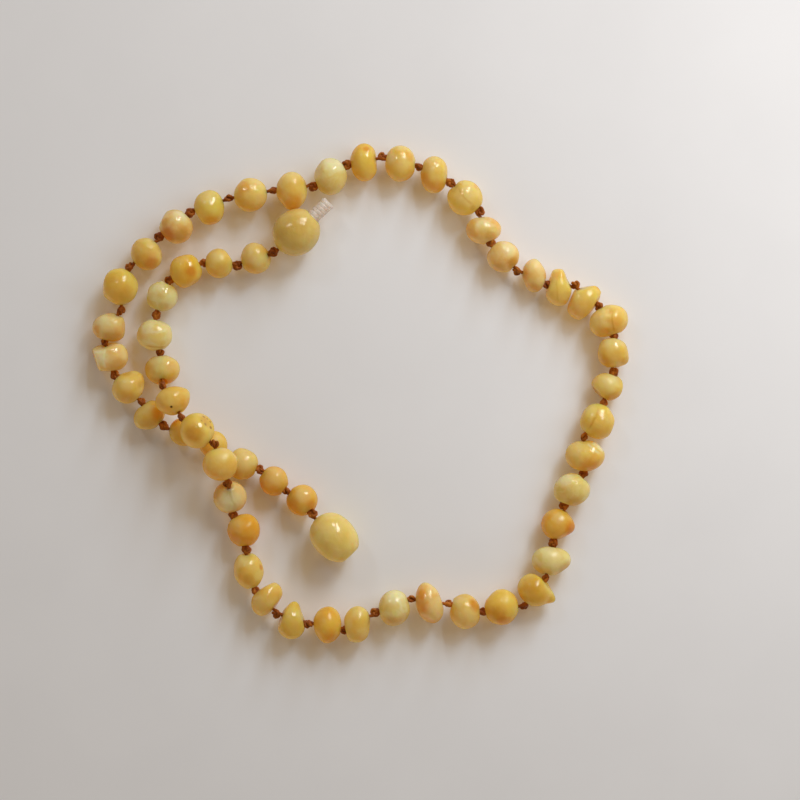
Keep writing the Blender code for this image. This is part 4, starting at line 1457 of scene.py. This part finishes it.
@dataclass
class ClaspWorks:
    """Turns and dresses the two clasp halves and the screw stud."""

    strand: Strand
    painter: AmberPainter
    collection: bpy.types.Collection
    stud_finish: StudFinish = StudFinish()
    stud_seed: float = 71.0
    socket_seed: float = 83.0
    segments: int = 72
    sharp_angle: float = 50.0
    weld: float = 0.001
    fullness: float = 2.2
    stud_fullness: float = 2.0
    steps: int = 40
    last_share: float = -0.985
    edge: float = 0.12
    thread_bore: float = 0.45
    bore_depth: float = 3.0
    stud_length: float = 7.4
    stud_barrel_radius: float = 3.6
    stud_face: float = 1.5
    socket_length: float = 7.9
    socket_barrel_radius: float = 3.4
    socket_face: float = 1.6
    socket_radius: float = 1.4
    socket_depth: float = 4.0
    ridge: float = 0.16
    ridges_from: float = 0.3
    ridges_to: float = 0.4
    mouth_depth: float = 0.2
    mouth_flare: float = 0.1
    mouth_lip: float = 0.02
    stud_hole: float = 1.2
    stud_hole_depth: float = 1.6
    stud_root: float = 1.4
    stud_radius: float = 1.08
    stud_groove: float = 1.0
    stud_out: float = 3.4
    stud_sides: int = 40
    stud_rows: int = 90
    run_out: float = 0.35
    crest_gain: float = 2.4
    pitch: float = 0.62

    def _outline(self, length: float, radius: float, face: float,
                 full: float) -> list[tuple[float, float]]:
        """Outer side of a rounded barrel from its face down to its thread mouth.

        Args:
            length: end to end.
            radius: at the belly.
            face: radius of the flat face.
            full: how full its curve is, 2 for a plain ellipse.

        Returns:
            Radius and height pairs.
        """
        half, edge = length / 2, self.edge
        cut = (1 - (face / radius) ** full) ** (1 / full)
        pairs = [(face - edge, half), (face - edge / 4, half - edge / 4)]
        for share in np.linspace(1, self.last_share, self.steps)[1:]:
            scaled = share * cut if share > 0 else -share
            pairs.append((radius * (1 - scaled ** full) ** (1 / full), half * share))
        return pairs + [(self.thread_bore + edge, -half), (self.thread_bore, edge - half)]

    def _lay(self, name: str, profile: list[tuple[float, float]], middle: np.ndarray,
             axis: np.ndarray) -> bpy.types.Object:
        """Turn a profile about its axis and lay it in place.

        Args:
            name: the object's name.
            profile: radius and height pairs, in millimetres.
            middle: where the profile's origin goes.
            axis: direction of its height.

        Returns:
            The object.
        """
        turned = bmesh.new()
        verts = [turned.verts.new((radius * MM, 0, height * MM)) for radius, height in profile]
        edges = [turned.edges.new(pair) for pair in zip(verts, verts[1:])]
        bmesh.ops.spin(turned, geom=verts + edges, cent=(0, 0, 0), axis=(0, 0, 1), angle=2 * math.pi,
                       steps=self.segments, use_duplicate=False)
        bmesh.ops.remove_doubles(turned, verts=turned.verts, dist=self.weld * MM)
        bmesh.ops.recalc_face_normals(turned, faces=turned.faces)
        return self._finish_mesh(name, turned, middle, axis)

    def _finish_mesh(self, name: str, shape: bmesh.types.BMesh, middle: np.ndarray,
                     axis: np.ndarray) -> bpy.types.Object:
        """Move a turned shape into place and make its object.

        Args:
            name: the object's name.
            shape: the shape about its own axis.
            middle: where its origin goes.
            axis: direction of its height.

        Returns:
            The object.
        """
        turn = Vector(axis).to_track_quat("Z", "Y").to_matrix().to_4x4()
        bmesh.ops.transform(shape, matrix=Matrix.Translation(Vector(middle) * MM) @ turn, verts=shape.verts)
        piece = smooth_object(name, shape, self.collection)
        piece.data.set_sharp_from_angle(angle=math.radians(self.sharp_angle))
        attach(piece, BODY)
        return piece

    def stud_half(self) -> bpy.types.Object:
        """Turn the barrel that carries the stud.

        Returns:
            The barrel's object.
        """
        half = self.stud_length / 2
        floor = half - self.stud_hole_depth
        profile = [(0, floor), (self.stud_hole, floor), (self.stud_hole, half)]
        profile += self._outline(self.stud_length, self.stud_barrel_radius, self.stud_face,
                                 self.stud_fullness)
        profile += [(self.thread_bore, self.bore_depth - half), (0, self.bore_depth - half)]
        axis = unit(STUD_BARREL_MIDDLE - self.strand.knots[0])
        piece = self._lay("stud_half", profile, STUD_BARREL_MIDDLE, axis)
        amber = self.painter.paint("stud_half", STUD_HALF_FINISH, self.stud_seed, ())
        piece.data.materials.append(amber)
        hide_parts("clasp_stud_barrel")
        return piece

    def socket_half(self) -> bpy.types.Object:
        """Turn the barrel with the socket.

        Returns:
            The barrel's object.
        """
        half = self.socket_length / 2
        radius = self.socket_radius
        profile = [(0, half - self.socket_depth), (radius, half - self.socket_depth)]
        depth = self.socket_depth - self.ridges_from
        while depth > self.ridges_to:
            profile.append((radius, half - depth))
            profile.append((radius - self.ridge, half - depth + self.pitch / 2))
            depth -= self.pitch
        profile += [(radius, half - self.mouth_depth), (radius + self.mouth_flare, half - self.mouth_lip)]
        profile += self._outline(self.socket_length, self.socket_barrel_radius, self.socket_face,
                                 self.fullness)
        profile += [(self.thread_bore, self.bore_depth - half), (0, self.bore_depth - half)]
        axis = unit(SOCKET_BARREL_MIDDLE - self.strand.knots[-1])
        piece = self._lay("socket_half", profile, SOCKET_BARREL_MIDDLE, axis)
        amber = self.painter.paint("socket_half", SOCKET_HALF_FINISH, self.socket_seed, ())
        piece.data.materials.append(amber)
        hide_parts("clasp_socket_barrel")
        return piece

    def stud(self) -> bpy.types.Object:
        """Cut the stud's screw thread as a true helix.

        Returns:
            The stud's object.
        """
        base = self.stud_length / 2 - self.stud_root
        tip = self.stud_length / 2 + self.stud_out
        turns = np.arange(self.stud_sides) / self.stud_sides
        rings = []
        for height in np.linspace(base, tip, self.stud_rows + 1):
            run_out = min(1.0, (tip - height) / self.run_out)
            phase = (height / self.pitch - turns) % 1
            crest = np.minimum(1.0, self.crest_gain * (1 - abs(2 * phase - 1)))
            radius = self.stud_groove + (self.stud_radius - self.stud_groove) * crest * run_out
            across, upward = radius * np.cos(2 * math.pi * turns), radius * np.sin(2 * math.pi * turns)
            rings.append(np.column_stack((across, upward, np.full(self.stud_sides, height))))
        axis = unit(STUD_BARREL_MIDDLE - self.strand.knots[0])
        piece = self._finish_mesh("screw_stud", skin_rings(np.array(rings)), STUD_BARREL_MIDDLE, axis)
        material, bench, shader, position = start_material("screw_stud")
        scuff = bench.add("ShaderNodeTexNoise", Vector=position, Scale=2.2, Detail=3.0)
        finish = self.stud_finish
        milky = bench.blend(scuff.outputs["Fac"], finish.clearer, finish.milkier)
        bench.feed(shader.inputs["Base Color"], milky)
        roughness = bench.smooth(scuff.outputs["Fac"], *finish.scuff_edges, *finish.roughnesses)
        bench.feed(shader.inputs["Roughness"], roughness)
        shader.inputs["Subsurface Weight"].default_value = 1.0
        shader.inputs["Subsurface Radius"].default_value = finish.spread
        shader.inputs["Subsurface Scale"].default_value = finish.scatter * MM
        shader.inputs["Transmission Weight"].default_value = finish.clear
        piece.data.materials.append(material)
        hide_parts("clasp_stud")
        return piece


@dataclass(frozen=True)
class PaperFinish:
    """How the paper looks: its two pale tints and its roughness."""

    darker: Rgb = (0.755, 0.74, 0.735)
    lighter: Rgb = (0.805, 0.79, 0.785)
    roughness: float = 0.8


@dataclass(frozen=True)
class Pane:
    """A rectangle of light that faces the middle of the view.

    Its lower and upper edges are directions from there, its width is a share of its distance, and
    the distance is in millimetres. A pane that isn't mirrored gives no highlights.
    """

    name: str
    low: tuple[float, float, float]
    high: tuple[float, float, float]
    width: float
    distance: float
    radiance: float
    colour: Rgb = (0.885, 0.905, 0.93)
    mirrored: bool = True


PANES = (
    Pane("wide_pane", (0.40, 0.88, 0.27), (0.46, 0.52, 0.72), 0.17, 700, 15),
    Pane("slant_pane", (0.07, 0.92, 0.39), (0.32, 0.56, 0.76), 0.07, 700, 15),
    Pane("small_pane", (-0.44, 0.65, 0.61), (-0.46, 0.55, 0.69), 0.11, 700, 14),
    Pane("window_glow", (0.78, 0.45, 0.42), (0.55, 0.31, 0.78), 0.9, 180, 3.05, mirrored=False),
    Pane("far_wall", (-0.5, -0.85, 0.05), (-0.45, -0.8, 0.4), 1.4, 500, 1.5, (1.0, 0.95, 0.88), False),
)


@dataclass
class Studio:
    """Camera, paper and window light."""

    collection: bpy.types.Collection
    view_middle: tuple[float, float] = (6.24, -1.02)
    view_width: float = 126.0
    camera_height: float = 420.0
    subject_height: float = 2.6
    sensor: float = 36.0
    paper_half: float = 1500.0
    paper_finish: PaperFinish = PaperFinish()
    room_colour: Rgb = (1.0, 0.84, 0.66)
    room_strength: float = 0.2

    def camera(self) -> bpy.types.Object:
        """Hang the camera straight above the necklace.

        Returns:
            The camera.
        """
        data = bpy.data.cameras.new("overhead")
        data.sensor_width = self.sensor
        data.lens = self.sensor * (self.camera_height - self.subject_height) / self.view_width
        camera = bpy.data.objects.new("overhead", data)
        camera.location = Vector((*self.view_middle, self.camera_height)) * MM
        self.collection.objects.link(camera)
        bpy.context.scene.camera = camera
        return camera

    def paper(self) -> bpy.types.Object:
        """Lay the pale paper that the necklace rests on.

        Returns:
            The sheet.
        """
        sheet = bmesh.new()
        bmesh.ops.create_grid(sheet, x_segments=2, y_segments=2, size=self.paper_half * MM)
        mesh = bpy.data.meshes.new("paper")
        sheet.to_mesh(mesh)
        sheet.free()
        paper = bpy.data.objects.new("paper", mesh)
        self.collection.objects.link(paper)
        material, bench, shader, position = start_material("paper")
        mottle = bench.add("ShaderNodeTexNoise", Vector=position, Scale=0.06, Detail=4.0)
        pale = bench.blend(mottle.outputs["Fac"], self.paper_finish.darker, self.paper_finish.lighter)
        bench.feed(shader.inputs["Base Color"], pale)
        shader.inputs["Roughness"].default_value = self.paper_finish.roughness
        mesh.materials.append(material)
        return paper

    def _hang(self, pane: Pane) -> bpy.types.Object:
        """Hang one rectangle of light.

        Args:
            pane: the rectangle.

        Returns:
            The light.
        """
        low, high = Vector(pane.low).normalized(), Vector(pane.high).normalized()
        toward, rise = (low + high).normalized(), (high - low) * pane.distance
        across = rise.cross(toward).normalized()
        data = bpy.data.lights.new(pane.name, "AREA")
        data.shape = "RECTANGLE"
        data.size, data.size_y = pane.width * pane.distance * MM, rise.length * MM
        data.energy = pane.radiance * math.pi * data.size * data.size_y
        data.color = pane.colour
        lamp = bpy.data.objects.new(pane.name, data)
        lamp.visible_glossy = pane.mirrored
        middle = (Vector((*self.view_middle, 0)) + (low + high) / 2 * pane.distance) * MM
        turn = Matrix((across, rise.normalized(), toward)).transposed().to_4x4()
        lamp.matrix_world = Matrix.Translation(middle) @ turn
        self.collection.objects.link(lamp)
        return lamp

    def light(self) -> None:
        """Set the warm room light, the window's glow and its bright panes."""
        for pane in PANES:
            self._hang(pane)
        world = bpy.data.worlds.new("room")
        world.use_nodes = True
        background = world.node_tree.nodes["Background"]
        background.inputs["Color"].default_value = (*self.room_colour, 1.0)
        background.inputs["Strength"].default_value = self.room_strength
        bpy.context.scene.world = world
        bpy.context.scene.view_settings.view_transform = "Standard"


def main() -> None:
    """Build the necklace's pieces in order and report each."""
    logging.basicConfig(level=logging.INFO, format="%(name)s: %(message)s")
    collection = bpy.data.collections.new("dressed_necklace")
    bpy.context.scene.collection.children.link(collection)
    studio = Studio(collection)
    studio.camera()
    strand = Strand()
    thread = ThreadWorks(strand, collection).build()
    log.info("%s: %d faces", thread.name, len(thread.data.polygons))
    painter = AmberPainter(EffectGroups())
    stones = StoneWorks(strand, painter, collection)
    for number, stone in enumerate(STONES, start=1):
        piece = stones.build(number, stone)
        log.info("%s: %s, %d faces", piece.name, stone.tint.value, len(piece.data.polygons))
    bpy.data.meshes.remove(stones.cage)
    clasp = ClaspWorks(strand, painter, collection)
    for piece in (clasp.stud_half(), clasp.stud(), clasp.socket_half()):
        log.info("%s: %d faces", piece.name, len(piece.data.polygons))
    studio.paper()
    studio.light()


if __name__ == "__main__":
    main()
